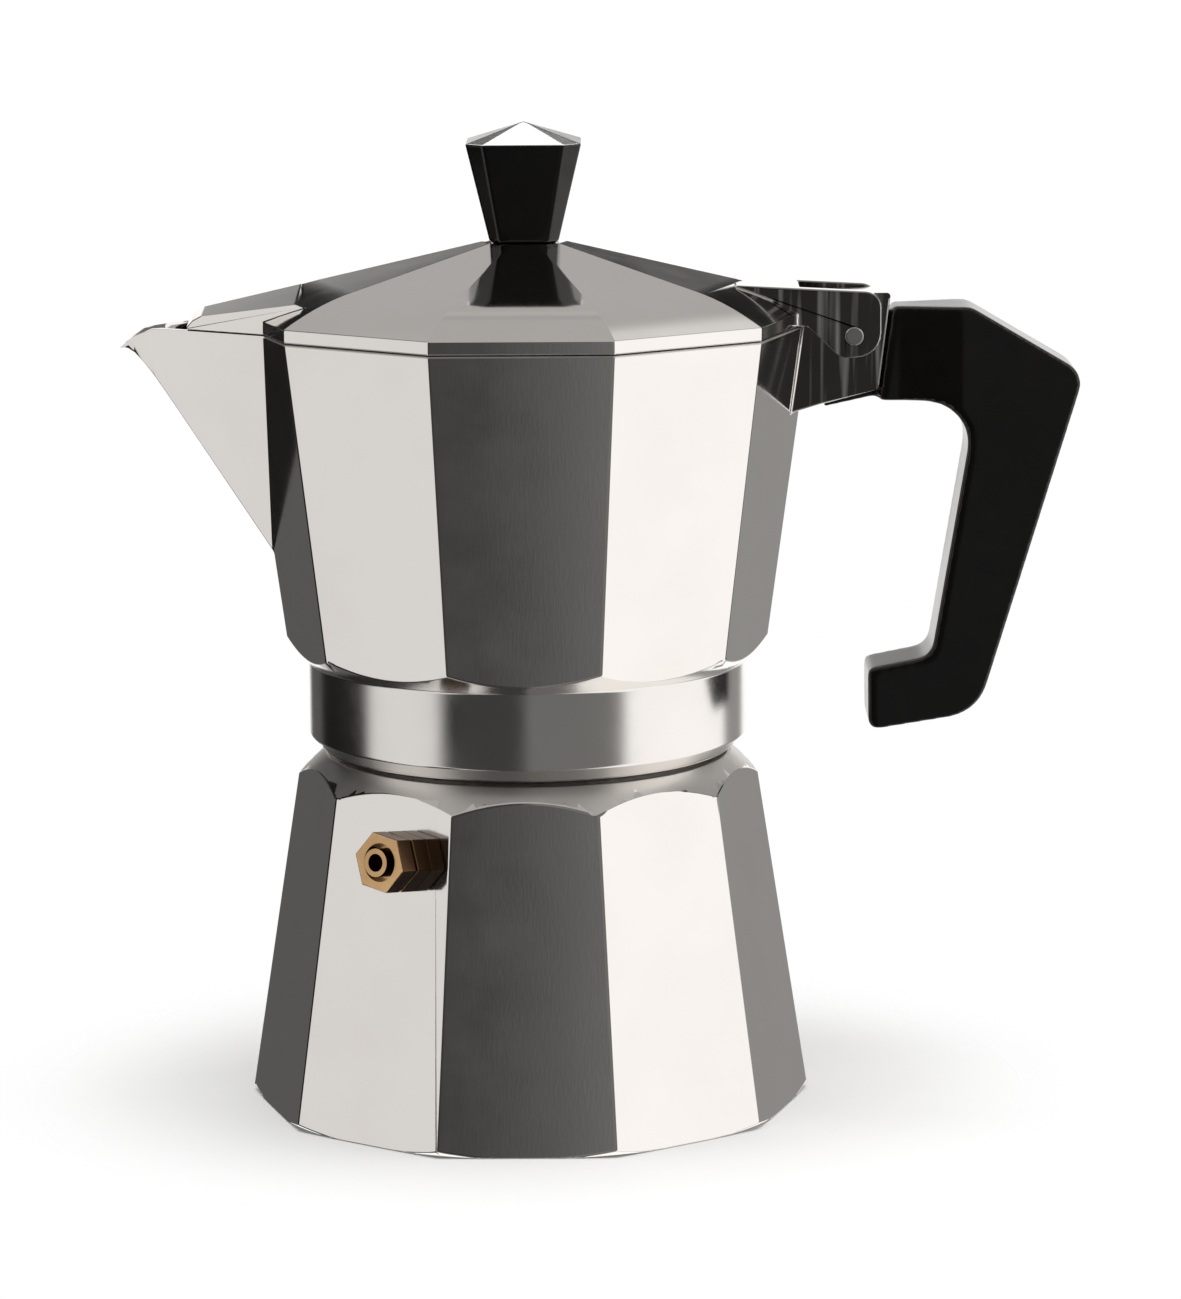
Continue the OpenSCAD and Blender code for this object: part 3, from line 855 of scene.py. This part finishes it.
def coil(
    name: str, wire: float, mean: float, turns: float, length: float, material: bpy.types.Material
) -> bpy.types.Object:
    """Winds a spring up from the origin along Z.

    Args:
        name: The piece's name.
        wire: The wire's radius.
        mean: The coil's radius.
        turns: The number of turns.
        length: The coil's length.
        material: Its material.

    Returns:
        The spring.
    """
    tree = GeometryTree("coil", Wire=wire, Radius=mean, Turns=turns, Length=length)
    spiral = tree.add("GeometryNodeCurveSpiral")
    spiral.inputs["Resolution"].default_value = TURN_STEPS
    profile = tree.add("GeometryNodeCurvePrimitiveCircle")
    profile.inputs["Resolution"].default_value = WIRE_STEPS
    swept = tree.add("GeometryNodeCurveToMesh")
    swept.inputs["Fill Caps"].default_value = True
    smooth = tree.add("GeometryNodeSetShadeSmooth")
    tree.feed("Turns", spiral.inputs["Rotations"])
    tree.feed("Radius", spiral.inputs["Start Radius"], spiral.inputs["End Radius"])
    tree.feed("Length", spiral.inputs["Height"])
    tree.feed("Wire", profile.inputs["Radius"])
    tree.link(spiral.outputs[0], swept.inputs["Curve"])
    tree.link(profile.outputs[0], swept.inputs["Profile Curve"])
    tree.link(swept.outputs[0], smooth.inputs["Geometry"])
    return tree.finish(smooth.outputs[0], name, material)


def punched_rims(
    name: str, rings: int, pitch: float, hole: float, height: float, material: bpy.types.Material
) -> bpy.types.Object:
    """Lays the raised rims that punching leaves round a disc's holes.

    Args:
        name: The piece's name.
        rings: Rings of holes round the middle one; each has six more than the one inside it.
        pitch: Distance between rings.
        hole: Radius of a hole.
        height: Where the disc's face is.
        material: Their material.

    Returns:
        The rims.
    """
    tree = GeometryTree(name, Pitch=pitch, Hole=hole, Height=height, Lip=LIP)
    gather = tree.add("GeometryNodeJoinGeometry")
    for ring in range(rings + 1):
        circle = tree.add("GeometryNodeMeshCircle")
        circle.inputs["Vertices"].default_value = max(RING_STEP * ring, 3)
        if ring == 0:
            circle.inputs["Radius"].default_value = 0.0
        else:
            far = tree.add("ShaderNodeMath", operation="MULTIPLY")
            far.inputs[1].default_value = float(ring)
            tree.feed("Pitch", far.inputs[0])
            tree.link(far.outputs[0], circle.inputs["Radius"])
        tree.link(circle.outputs["Mesh"], gather.inputs[0])
    single = tree.add("GeometryNodeMergeByDistance")
    rim = tree.add("GeometryNodeCurvePrimitiveCircle")
    rim.inputs["Resolution"].default_value = RIM_STEPS
    lip = tree.add("GeometryNodeCurvePrimitiveCircle")
    lip.inputs["Resolution"].default_value = LIP_STEPS
    swept = tree.add("GeometryNodeCurveToMesh")
    smooth = tree.add("GeometryNodeSetShadeSmooth")
    spread = tree.add("GeometryNodeInstanceOnPoints")
    lift = tree.add("ShaderNodeCombineXYZ")
    place = tree.add("GeometryNodeTransform")
    tree.feed("Hole", rim.inputs["Radius"])
    tree.feed("Lip", lip.inputs["Radius"])
    tree.feed("Height", lift.inputs["Z"])
    tree.link(rim.outputs[0], swept.inputs["Curve"])
    tree.link(lip.outputs[0], swept.inputs["Profile Curve"])
    tree.link(swept.outputs[0], smooth.inputs["Geometry"])
    tree.link(gather.outputs[0], single.inputs["Geometry"])
    tree.link(single.outputs[0], spread.inputs["Points"])
    tree.link(smooth.outputs[0], spread.inputs["Instance"])
    tree.link(spread.outputs[0], place.inputs["Geometry"])
    tree.link(lift.outputs[0], place.inputs["Translation"])
    return tree.finish(place.outputs[0], name, material)


# ---- Sub-assemblies --------------------------------------------------------------------------

@dataclass
class Boiler:
    """The water chamber: polished facets, a turned shoulder, neck and thread, and a cast inside.

    Attributes:
        palette: The materials.
        edges: How its edges are eased.
        neck_height: From the shoulder to the top of the neck.
        cut_from: How far below the shoulder the lathe's cut may reach.
        corner_at: How far below the shoulder the top corner is taken to be.
        corner_to: The corner's radius is read from cut_from up to this far below the shoulder.
        cut_depth: Cut faces under the shoulder are this far behind the flats.
        foot_band: Faces this near the lowest point are the underside.
        floor_band: Faces this near the lowest point aren't inside.
        wall: Inner faces are at least this far behind the flats.
    """

    palette: Palette
    edges: EdgeStyle = EdgeStyle(0.30 * MM)
    neck_height: float = 13.2 * MM
    cut_from: float = 6 * MM
    corner_at: float = 4.5 * MM
    corner_to: float = 3 * MM
    cut_depth: float = 0.4 * MM
    foot_band: float = 0.2 * MM
    floor_band: float = 1.0 * MM
    wall: float = 1.5 * MM

    def build(self) -> None:
        """Builds the boiler's piece."""
        low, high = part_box("boiler")
        shoulder = high.z - self.neck_height
        top_corner = widest("boiler", shoulder - self.cut_from, shoulder - self.corner_to)
        outside = Prism(low.z, high.x, shoulder - self.corner_at, top_corner)
        piece = eased("boiler", "boiler_shell", self.edges)

        def turned(centre: Vector, normal: Vector) -> bool:
            """True on the faces that a lathe cut: the underside, the shoulder and the neck."""
            cut = centre.z > shoulder - self.cut_from and outside.depth(centre) > self.cut_depth
            return centre.z < low.z + self.foot_band or centre.z > shoulder or cut

        def inside(centre: Vector, normal: Vector) -> bool:
            """True on the chamber's inner faces."""
            above_floor = low.z + self.floor_band < centre.z < shoulder
            inward = normal.dot(Vector((centre.x, centre.y, 0))) <= 0
            return above_floor and outside.depth(centre) > self.wall and inward

        paint(piece, self.palette.polished, (self.palette.satin, turned), (self.palette.cast, inside))
        stand_for(piece, "boiler", "boiler")


@dataclass
class SafetyValve:
    """The brass valve: an eased hexagon, its plunger, and a wound spring.

    Attributes:
        palette: The materials.
        edges: How its edges are eased.
        wire: Radius of the spring's wire.
        turns: The spring's turns.
        outward: Faces whose normal has more than this share of the axis are its bright ends; the rest get a
            painted shade.
    """

    palette: Palette
    edges: EdgeStyle = EdgeStyle(0.16 * MM, shortest=0.5 * MM, segments=2)
    wire: float = 0.17 * MM
    turns: float = 7.0
    outward: float = 0.6

    @property
    def axis(self) -> Vector:
        """The valve's axis, out of the boiler, of length 1."""
        lift = next(joint for joint in frame["joints"] if joint["name"] == "valve_lift")
        return Vector(lift["axis"]).normalized()

    def build(self) -> None:
        """Builds the valve's pieces."""
        out = self.axis

        def side(centre: Vector, normal: Vector) -> bool:
            """True on faces that don't look out along the valve's axis, which get a painted shade."""
            return normal.dot(out) < self.outward

        for node, body in (("valve_body", "boiler"), ("valve_plunger", "valve_plunger")):
            piece = eased(node, f"{node}_turned", self.edges)
            paint(piece, self.palette.brass, (self.palette.shaded_tarnished_brass, side))
            stand_for(piece, node, body)
        dress("valve_retainer", self.palette.brass)
        dress("valve_seal", self.palette.seal)
        self.build_spring()

    def build_spring(self) -> None:
        """Winds the spring along the valve's own axis."""
        out = self.axis
        points = [v.co for v in frame["nodes"]["valve_spring"].data.vertices]
        middle = sum(points, Vector()) / len(points)
        along = [(p - middle).dot(out) for p in points]
        mean = max(((p - middle) - out * (p - middle).dot(out)).length for p in points) - self.wire
        length = max(along) - min(along) - 2 * self.wire
        spring = coil("valve_spring_coil", self.wire, mean, self.turns, length, self.palette.steel)
        turn = out.to_track_quat("Z", "Y").to_matrix().to_4x4()
        spring.data.transform(Matrix.Translation(middle - out * length / 2) @ turn)
        stand_for(spring, "valve_spring", "boiler")


@dataclass
class FilterParts:
    """The funnel and its strainer, the gasket and the filter plate.

    Attributes:
        palette: The materials.
        strainer_hole: Radius of the strainer's holes.
        strainer_rings: Its rings of holes.
        strainer_edge: From the strainer's edge to its last ring.
        plate_hole: Radius of the filter plate's holes.
        plate_rings: Its rings of holes.
        flange: From the plate's edge to its dish.
        plate_edge: From the dish's edge to the last ring.
    """

    palette: Palette
    strainer_hole: float = 0.9 * MM
    strainer_rings: int = 4
    strainer_edge: float = 5 * MM
    plate_hole: float = 0.7 * MM
    plate_rings: int = 5
    flange: float = 2.3 * MM
    plate_edge: float = 3.6 * MM

    def build(self) -> None:
        """Dresses the sheet parts and lays the rims of their holes."""
        for node in ("funnel", "funnel_strainer", "filter_plate"):
            dress(node, self.palette.pressed)
        dress("gasket", self.palette.gasket)
        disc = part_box("funnel_strainer")[1]
        pitch = (disc.x - self.strainer_edge) / self.strainer_rings
        rims = punched_rims(
            "strainer_rims", self.strainer_rings, pitch, self.strainer_hole, disc.z, self.palette.pressed
        )
        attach(rims, "funnel")
        low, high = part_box("filter_plate")
        pitch = (high.x - self.flange - self.plate_edge) / self.plate_rings
        rims = punched_rims(
            "filter_rims", self.plate_rings, pitch, self.plate_hole, low.z, self.palette.pressed
        )
        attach(rims, "seal")


@dataclass
class Collector:
    """The coffee pot itself: polished facets and spout, a turned skirt, a cast inside and the hinge pin.

    Attributes:
        palette: The materials.
        edges: How its edges are eased.
        pin_edges: How the pin's edges are eased.
        skirt_height: Height of the skirt.
        foot_height: From the skirt's top to the facets' foot.
        foot_band: The foot's corner radius is read from this far below it.
        skirt_depth: Cut faces between skirt and foot are this far behind the flats.
        wall: Inner faces are at least this far behind the flats.
        lug_gap: The lug starts this far outside the rim's corners.
    """

    palette: Palette
    edges: EdgeStyle = EdgeStyle(0.30 * MM)
    pin_edges: EdgeStyle = EdgeStyle(0.35 * MM, shortest=0.05 * MM)
    skirt_height: float = 14.1 * MM
    foot_height: float = 5 * MM
    foot_band: float = 1 * MM
    skirt_depth: float = 0.3 * MM
    wall: float = 1.2 * MM
    lug_gap: float = 0.3 * MM

    def build(self) -> None:
        """Builds the collector's piece and the hinge pin's."""
        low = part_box("collector")[0].z
        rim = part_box("lid")[0].z
        skirt_top = low + self.skirt_height
        foot = skirt_top + self.foot_height
        foot_corner = widest("collector", foot - self.foot_band, foot)
        outside = Prism(foot, foot_corner, rim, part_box("boiler")[1].x)
        lug_x = outside.high_corner + self.lug_gap
        piece = eased("collector", "collector_shell", self.edges)

        def inside(centre: Vector, normal: Vector) -> bool:
            """True on the pot's inner faces and the coffee column."""
            return centre.z > foot and outside.depth(centre) > self.wall and centre.x < lug_x

        def turned(centre: Vector, normal: Vector) -> bool:
            """True on the skirt, its thread and the underside."""
            return centre.z < foot and (centre.z < skirt_top or outside.depth(centre) > self.skirt_depth)

        def lug(centre: Vector, normal: Vector) -> bool:
            """True on the hinge lug's flat sides, which get a painted shade."""
            return centre.x > lug_x and abs(normal.y) > SIDEWAYS

        paint(
            piece, self.palette.polished, (self.palette.turned, turned), (self.palette.cast, inside),
            (self.palette.shaded_scratched, lug),
        )
        stand_for(piece, "collector", "collector")
        pin = eased("hinge_pin", "hinge_pin_rivet", self.pin_edges)
        paint(pin, self.palette.steel)
        stand_for(pin, "hinge_pin", "collector")


@dataclass
class Handle:
    """The bracket handle: one black moulding with soft edges.

    Attributes:
        palette: The materials.
        grain: Size of its mesh's faces.
        rounds: Passes of smoothing.
    """

    palette: Palette
    grain: float = 0.42 * MM
    rounds: int = 14

    def build(self) -> None:
        """Builds the handle."""
        piece = moulded("handle", "handle_grip", self.grain, self.rounds)
        paint(piece, self.palette.bakelite)
        stand_for(piece, "handle", "collector")


@dataclass
class Lid:
    """The hinged lid with its knob and what holds the knob on.

    Attributes:
        palette: The materials.
        edges: How its edges are eased.
        knob_grain: Size of the faces of the knob's mesh.
        knob_rounds: Passes of smoothing on the knob.
        hinge_depth: The hinge block starts this far inside the boiler's corners.
        brim: Faces this near the lid's lowest point aren't inside.
        downward: Inner faces have a normal that points down by more than this.
    """

    palette: Palette
    edges: EdgeStyle = EdgeStyle(0.22 * MM, above=5.0, shortest=0.6 * MM, segments=2)
    knob_grain: float = 0.22 * MM
    knob_rounds: int = 4
    hinge_depth: float = 9.0 * MM
    brim: float = 2 * MM
    downward: float = 0.3

    def build(self) -> None:
        """Builds the lid's pieces."""
        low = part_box("lid")[0].z
        hinge_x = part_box("boiler")[1].x - self.hinge_depth
        piece = eased("lid", "lid_shell", self.edges)

        def hinge(centre: Vector, normal: Vector) -> bool:
            """True on the flat sides of the hinge block and its ears, which get a painted shade."""
            return centre.x > hinge_x and abs(normal.y) > SIDEWAYS

        def under(centre: Vector, normal: Vector) -> bool:
            """True on the lid's inner faces."""
            return normal.z < -self.downward and centre.z > low + self.brim and centre.x < hinge_x

        paint(piece, self.palette.polished, (self.palette.cast, under), (self.palette.shaded_scratched, hinge))
        stand_for(piece, "lid", "lid")
        knob = moulded("knob", "knob_grip", self.knob_grain, self.knob_rounds)
        paint(knob, self.palette.bakelite)
        stand_for(knob, "knob", "lid")
        dress("knob_insert", self.palette.brass)
        dress("knob_screw", self.palette.steel)
        dress("knob_washer", self.palette.steel)


# ---- Studio ----------------------------------------------------------------------------------

@dataclass(frozen=True)
class Card:
    """A soft card of light in the studio, as seen from the pot.

    Attributes:
        azimuth: Degrees round from +X to its middle.
        half: Half its width, in degrees.
        soft: Width of its soft edge, in degrees.
        level: Its brightness.
        low: Its lower edge, in degrees above the horizon.
        high: Its upper edge.
    """

    azimuth: float
    half: float
    soft: float
    level: float
    low: float = -80.0
    high: float = 50.0


CARDS = (
    Card(-158.5, 23.0, 9.0, 0.74),
    Card(0.0, 38.0, 10.0, 1.05),
    Card(-65.4, 24.9, 2.4, 0.15),
    Card(-106.0, 20.0, 10.0, 0.035),
    Card(54.0, 14.0, 8.0, 0.27),
    Card(86.0, 20.0, 12.0, 1.10, high=11.0),
    Card(90.0, 34.0, 12.0, 0.42, low=20.0),
    Card(118.0, 14.0, 10.0, 0.09, high=11.0),
)


@dataclass
class Studio:
    """A pale floor, a white surround, soft cards round the pot, two lamps and a long-lens camera.

    Attributes:
        gloom: Brightness of the dark room behind the cards.
        room_colour: Colour of its light.
        top_level: Brightness of its ceiling.
        top_from: Where the ceiling starts, in degrees above the horizon.
        top_soft: Width of the ceiling's soft edge, in degrees.
        foot_soft: Width of a card's soft lower edge, in degrees.
        head_soft: Width of a card's soft upper edge, in degrees.
        key_power: Power of the overhead lamp.
        key_size: Its width.
        key_height: Its height.
        key_ahead: How far it is towards the camera.
        glint_power: Power of the lamp behind the knob.
        glint_size: Its width.
        glint_away: Its distance from the knob's top.
        glint_height: Its place in degrees above the horizon.
        floor_reach: Radius of the floor.
        floor_drop: How far the floor lies under the pot's foot.
        floor_tone: The floor's grey.
        fade_from: Radius where the floor starts to fade.
        fade_to: Radius where it is gone.
        eye: The camera's place.
        pitch: Degrees that the camera looks down.
        yaw: Degrees that it is turned towards +X.
        roll: Degrees that it is rolled.
        lens: Its focal length in millimetres.
        sensor: Its sensor's width in millimetres.
    """

    gloom: float = 0.012
    room_colour: Colour = (1.0, 0.985, 0.97)
    top_level: float = 0.42
    top_from: float = 50.0
    top_soft: float = 9.0
    foot_soft: float = 4.0
    head_soft: float = 6.0
    key_power: float = 13.0
    key_size: float = 1.2
    key_height: float = 1.15
    key_ahead: float = 0.15
    glint_power: float = 16.0
    glint_size: float = 0.9
    glint_away: float = 0.8
    glint_height: float = 62.0
    floor_reach: float = 0.11
    floor_drop: float = 0.02 * MM
    floor_tone: float = 0.93
    fade_from: float = 0.046
    fade_to: float = 0.10
    eye: tuple[float, float, float] = (12.208 * MM, -835.653 * MM, 220.758 * MM)
    pitch: float = 10.055
    yaw: float = -0.142
    roll: float = -0.303
    lens: float = 146.38
    sensor: float = 36.0

    def build(self) -> None:
        """Builds the surround, the lamps, the floor and the camera."""
        self.build_surround()
        self.build_key()
        self.build_glint()
        self.build_floor()
        self.build_camera()

    def build_surround(self) -> None:
        """Makes the world: white to the eye, and cards on a dark room to what it lights."""
        world = bpy.data.worlds.new("studio")
        bpy.context.scene.world = world
        world.use_nodes = True
        tree = world.node_tree
        tree.nodes.clear()
        place = tree.nodes.new("ShaderNodeTexCoord")
        parts = tree.nodes.new("ShaderNodeSeparateXYZ")
        tree.links.new(place.outputs["Generated"], parts.inputs[0])
        azimuth = self.maths(tree, "ARCTAN2", parts.outputs["Y"], parts.outputs["X"])
        elevation = self.maths(tree, "ARCSINE", parts.outputs["Z"])
        ceiling = self.ramp(tree, elevation, self.top_from, self.top_soft, self.top_level)
        total = self.maths(tree, "ADD", ceiling, self.gloom)
        for card in CARDS:
            total = self.maths(tree, "ADD", total, self.card(tree, azimuth, elevation, card))
        room = tree.nodes.new("ShaderNodeBackground")
        room.inputs["Color"].default_value = (*self.room_colour, 1.0)
        tree.links.new(total, room.inputs["Strength"])
        white = tree.nodes.new("ShaderNodeBackground")
        white.inputs["Color"].default_value = (1.0, 1.0, 1.0, 1.0)
        ray = tree.nodes.new("ShaderNodeLightPath")
        mix = tree.nodes.new("ShaderNodeMixShader")
        out = tree.nodes.new("ShaderNodeOutputWorld")
        tree.links.new(ray.outputs["Is Camera Ray"], mix.inputs["Fac"])
        tree.links.new(room.outputs[0], mix.inputs[1])
        tree.links.new(white.outputs[0], mix.inputs[2])
        tree.links.new(mix.outputs[0], out.inputs["Surface"])
        bpy.context.scene.view_settings.view_transform = "Standard"

    def maths(self, tree: bpy.types.NodeTree, way: str, *values: object) -> bpy.types.NodeSocket:
        """Adds a maths node.

        Args:
            tree: The node tree.
            way: The operation.
            *values: Its inputs, as sockets or numbers.

        Returns:
            Its output socket.
        """
        node = tree.nodes.new("ShaderNodeMath")
        node.operation = way
        for socket, value in zip(node.inputs, values):
            if isinstance(value, bpy.types.NodeSocket):
                tree.links.new(value, socket)
            else:
                socket.default_value = value
        return node.outputs[0]

    def ramp(
        self, tree: bpy.types.NodeTree, value: bpy.types.NodeSocket, at: float, soft: float, level: float
    ) -> bpy.types.NodeSocket:
        """Rises smoothly from 0 to a level as an angle passes a point.

        Args:
            tree: The node tree.
            value: The angle's socket, in radians.
            at: The point, in degrees.
            soft: The width of the rise, in degrees.
            level: The level.

        Returns:
            The output socket.
        """
        node = tree.nodes.new("ShaderNodeMapRange")
        node.interpolation_type = "SMOOTHSTEP"
        node.inputs["From Min"].default_value = math.radians(at - soft / 2)
        node.inputs["From Max"].default_value = math.radians(at + soft / 2)
        node.inputs["To Max"].default_value = level
        tree.links.new(value, node.inputs["Value"])
        return node.outputs["Result"]

    def card(
        self,
        tree: bpy.types.NodeTree,
        azimuth: bpy.types.NodeSocket,
        elevation: bpy.types.NodeSocket,
        card: Card,
    ) -> bpy.types.NodeSocket:
        """Lays one card of light.

        Args:
            tree: The node tree.
            azimuth: The azimuth's socket.
            elevation: The elevation's socket.
            card: The card.

        Returns:
            Its brightness, as a socket.
        """
        offset = self.maths(tree, "SUBTRACT", azimuth, math.radians(card.azimuth))
        away = self.maths(tree, "WRAP", offset, math.pi, -math.pi)
        across = self.ramp(tree, self.maths(tree, "ABSOLUTE", away), card.half, card.soft, 1.0)
        inside = self.maths(tree, "SUBTRACT", card.level, self.maths(tree, "MULTIPLY", across, card.level))
        foot = self.ramp(tree, elevation, card.low, self.foot_soft, 1.0)
        above = self.maths(tree, "MULTIPLY", inside, foot)
        head = self.ramp(tree, elevation, card.high, self.head_soft, 1.0)
        below = self.maths(tree, "SUBTRACT", 1.0, head)
        return self.maths(tree, "MULTIPLY", above, below)

    def build_key(self) -> None:
        """Hangs the broad overhead light that gives the soft shadow under the pot."""
        data = bpy.data.lights.new("key", "AREA")
        data.shape = "DISK"
        data.size = self.key_size
        data.energy = self.key_power
        key = bpy.data.objects.new("key", data)
        key.location = (0.0, -self.key_ahead, self.key_height)
        key.visible_glossy = False
        bpy.context.scene.collection.objects.link(key)

    def build_glint(self) -> None:
        """Hangs a soft light behind the pot that only the knob sees, for the sheen on its top."""
        knob = bpy.data.objects["knob_grip"]
        top = Vector((0.0, 0.0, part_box("knob")[1].z))
        data = bpy.data.lights.new("glint", "AREA")
        data.shape = "DISK"
        data.size = self.glint_size
        data.energy = self.glint_power
        glint = bpy.data.objects.new("glint", data)
        height = math.radians(self.glint_height)
        back = Vector((0.0, math.cos(height), math.sin(height)))
        glint.location = top + back * self.glint_away
        glint.rotation_euler = back.to_track_quat("Z", "Y").to_euler()
        glint.visible_camera = False
        bpy.context.scene.collection.objects.link(glint)
        lit = bpy.data.collections.new("lit_by_glint")
        lit.objects.link(knob)
        glint.light_linking.receiver_collection = lit

    def build_floor(self) -> None:
        """Lays the floor: a pale matt disc that fades out into the white surround."""
        disc = bmesh.new()
        bmesh.ops.create_circle(disc, cap_ends=True, radius=self.floor_reach, segments=96)
        mesh = bpy.data.meshes.new("floor")
        disc.to_mesh(mesh)
        disc.free()
        floor = mesh_object("floor", mesh)
        floor.location.z = -self.floor_drop
        floor.visible_glossy = False
        material = bpy.data.materials.new("pale_floor")
        material.use_nodes = True
        shader = Shader(material)
        shader.surface.inputs["Base Color"].default_value = (self.floor_tone,) * 3 + (1.0,)
        shader.surface.inputs["Roughness"].default_value = 0.9
        shader.surface.inputs["Specular IOR Level"].default_value = 0.0
        place = shader.add("ShaderNodeTexCoord")
        length = shader.add("ShaderNodeVectorMath")
        length.operation = "LENGTH"
        shader.link(place.outputs["Object"], length.inputs[0])
        fade = shader.add(
            "ShaderNodeMapRange", From_Min=self.fade_from, From_Max=self.fade_to, To_Min=1.0, To_Max=0.0
        )
        fade.interpolation_type = "SMOOTHERSTEP"
        shader.link(length.outputs["Value"], fade.inputs["Value"])
        shader.link(fade.outputs["Result"], shader.surface.inputs["Alpha"])
        floor.data.materials.append(material)

    def build_camera(self) -> None:
        """Places the camera by its eye and its three angles."""
        pitch, yaw, roll = (math.radians(a) for a in (self.pitch, self.yaw, self.roll))
        ahead = Vector((math.sin(yaw) * math.cos(pitch), math.cos(yaw) * math.cos(pitch), -math.sin(pitch)))
        level = Vector((math.cos(yaw), -math.sin(yaw), 0.0))
        above = level.cross(ahead)
        right = level * math.cos(roll) + above * math.sin(roll)
        up = above * math.cos(roll) - level * math.sin(roll)
        data = bpy.data.cameras.new("camera")
        data.lens = self.lens
        data.sensor_width = self.sensor
        camera = bpy.data.objects.new("camera", data)
        bpy.context.scene.collection.objects.link(camera)
        facing = Matrix((right, up, -ahead)).transposed().to_4x4()
        camera.matrix_world = Matrix.Translation(Vector(self.eye)) @ facing
        bpy.context.scene.camera = camera


def main() -> None:
    """Builds every sub-assembly in order, then the studio."""
    logging.basicConfig(level=logging.INFO, format="%(name)s: %(message)s")
    palette = Palette()
    for part in (Boiler, SafetyValve, FilterParts, Collector, Handle, Lid):
        part(palette).build()
    Studio().build()


if __name__ == "__main__":
    main()
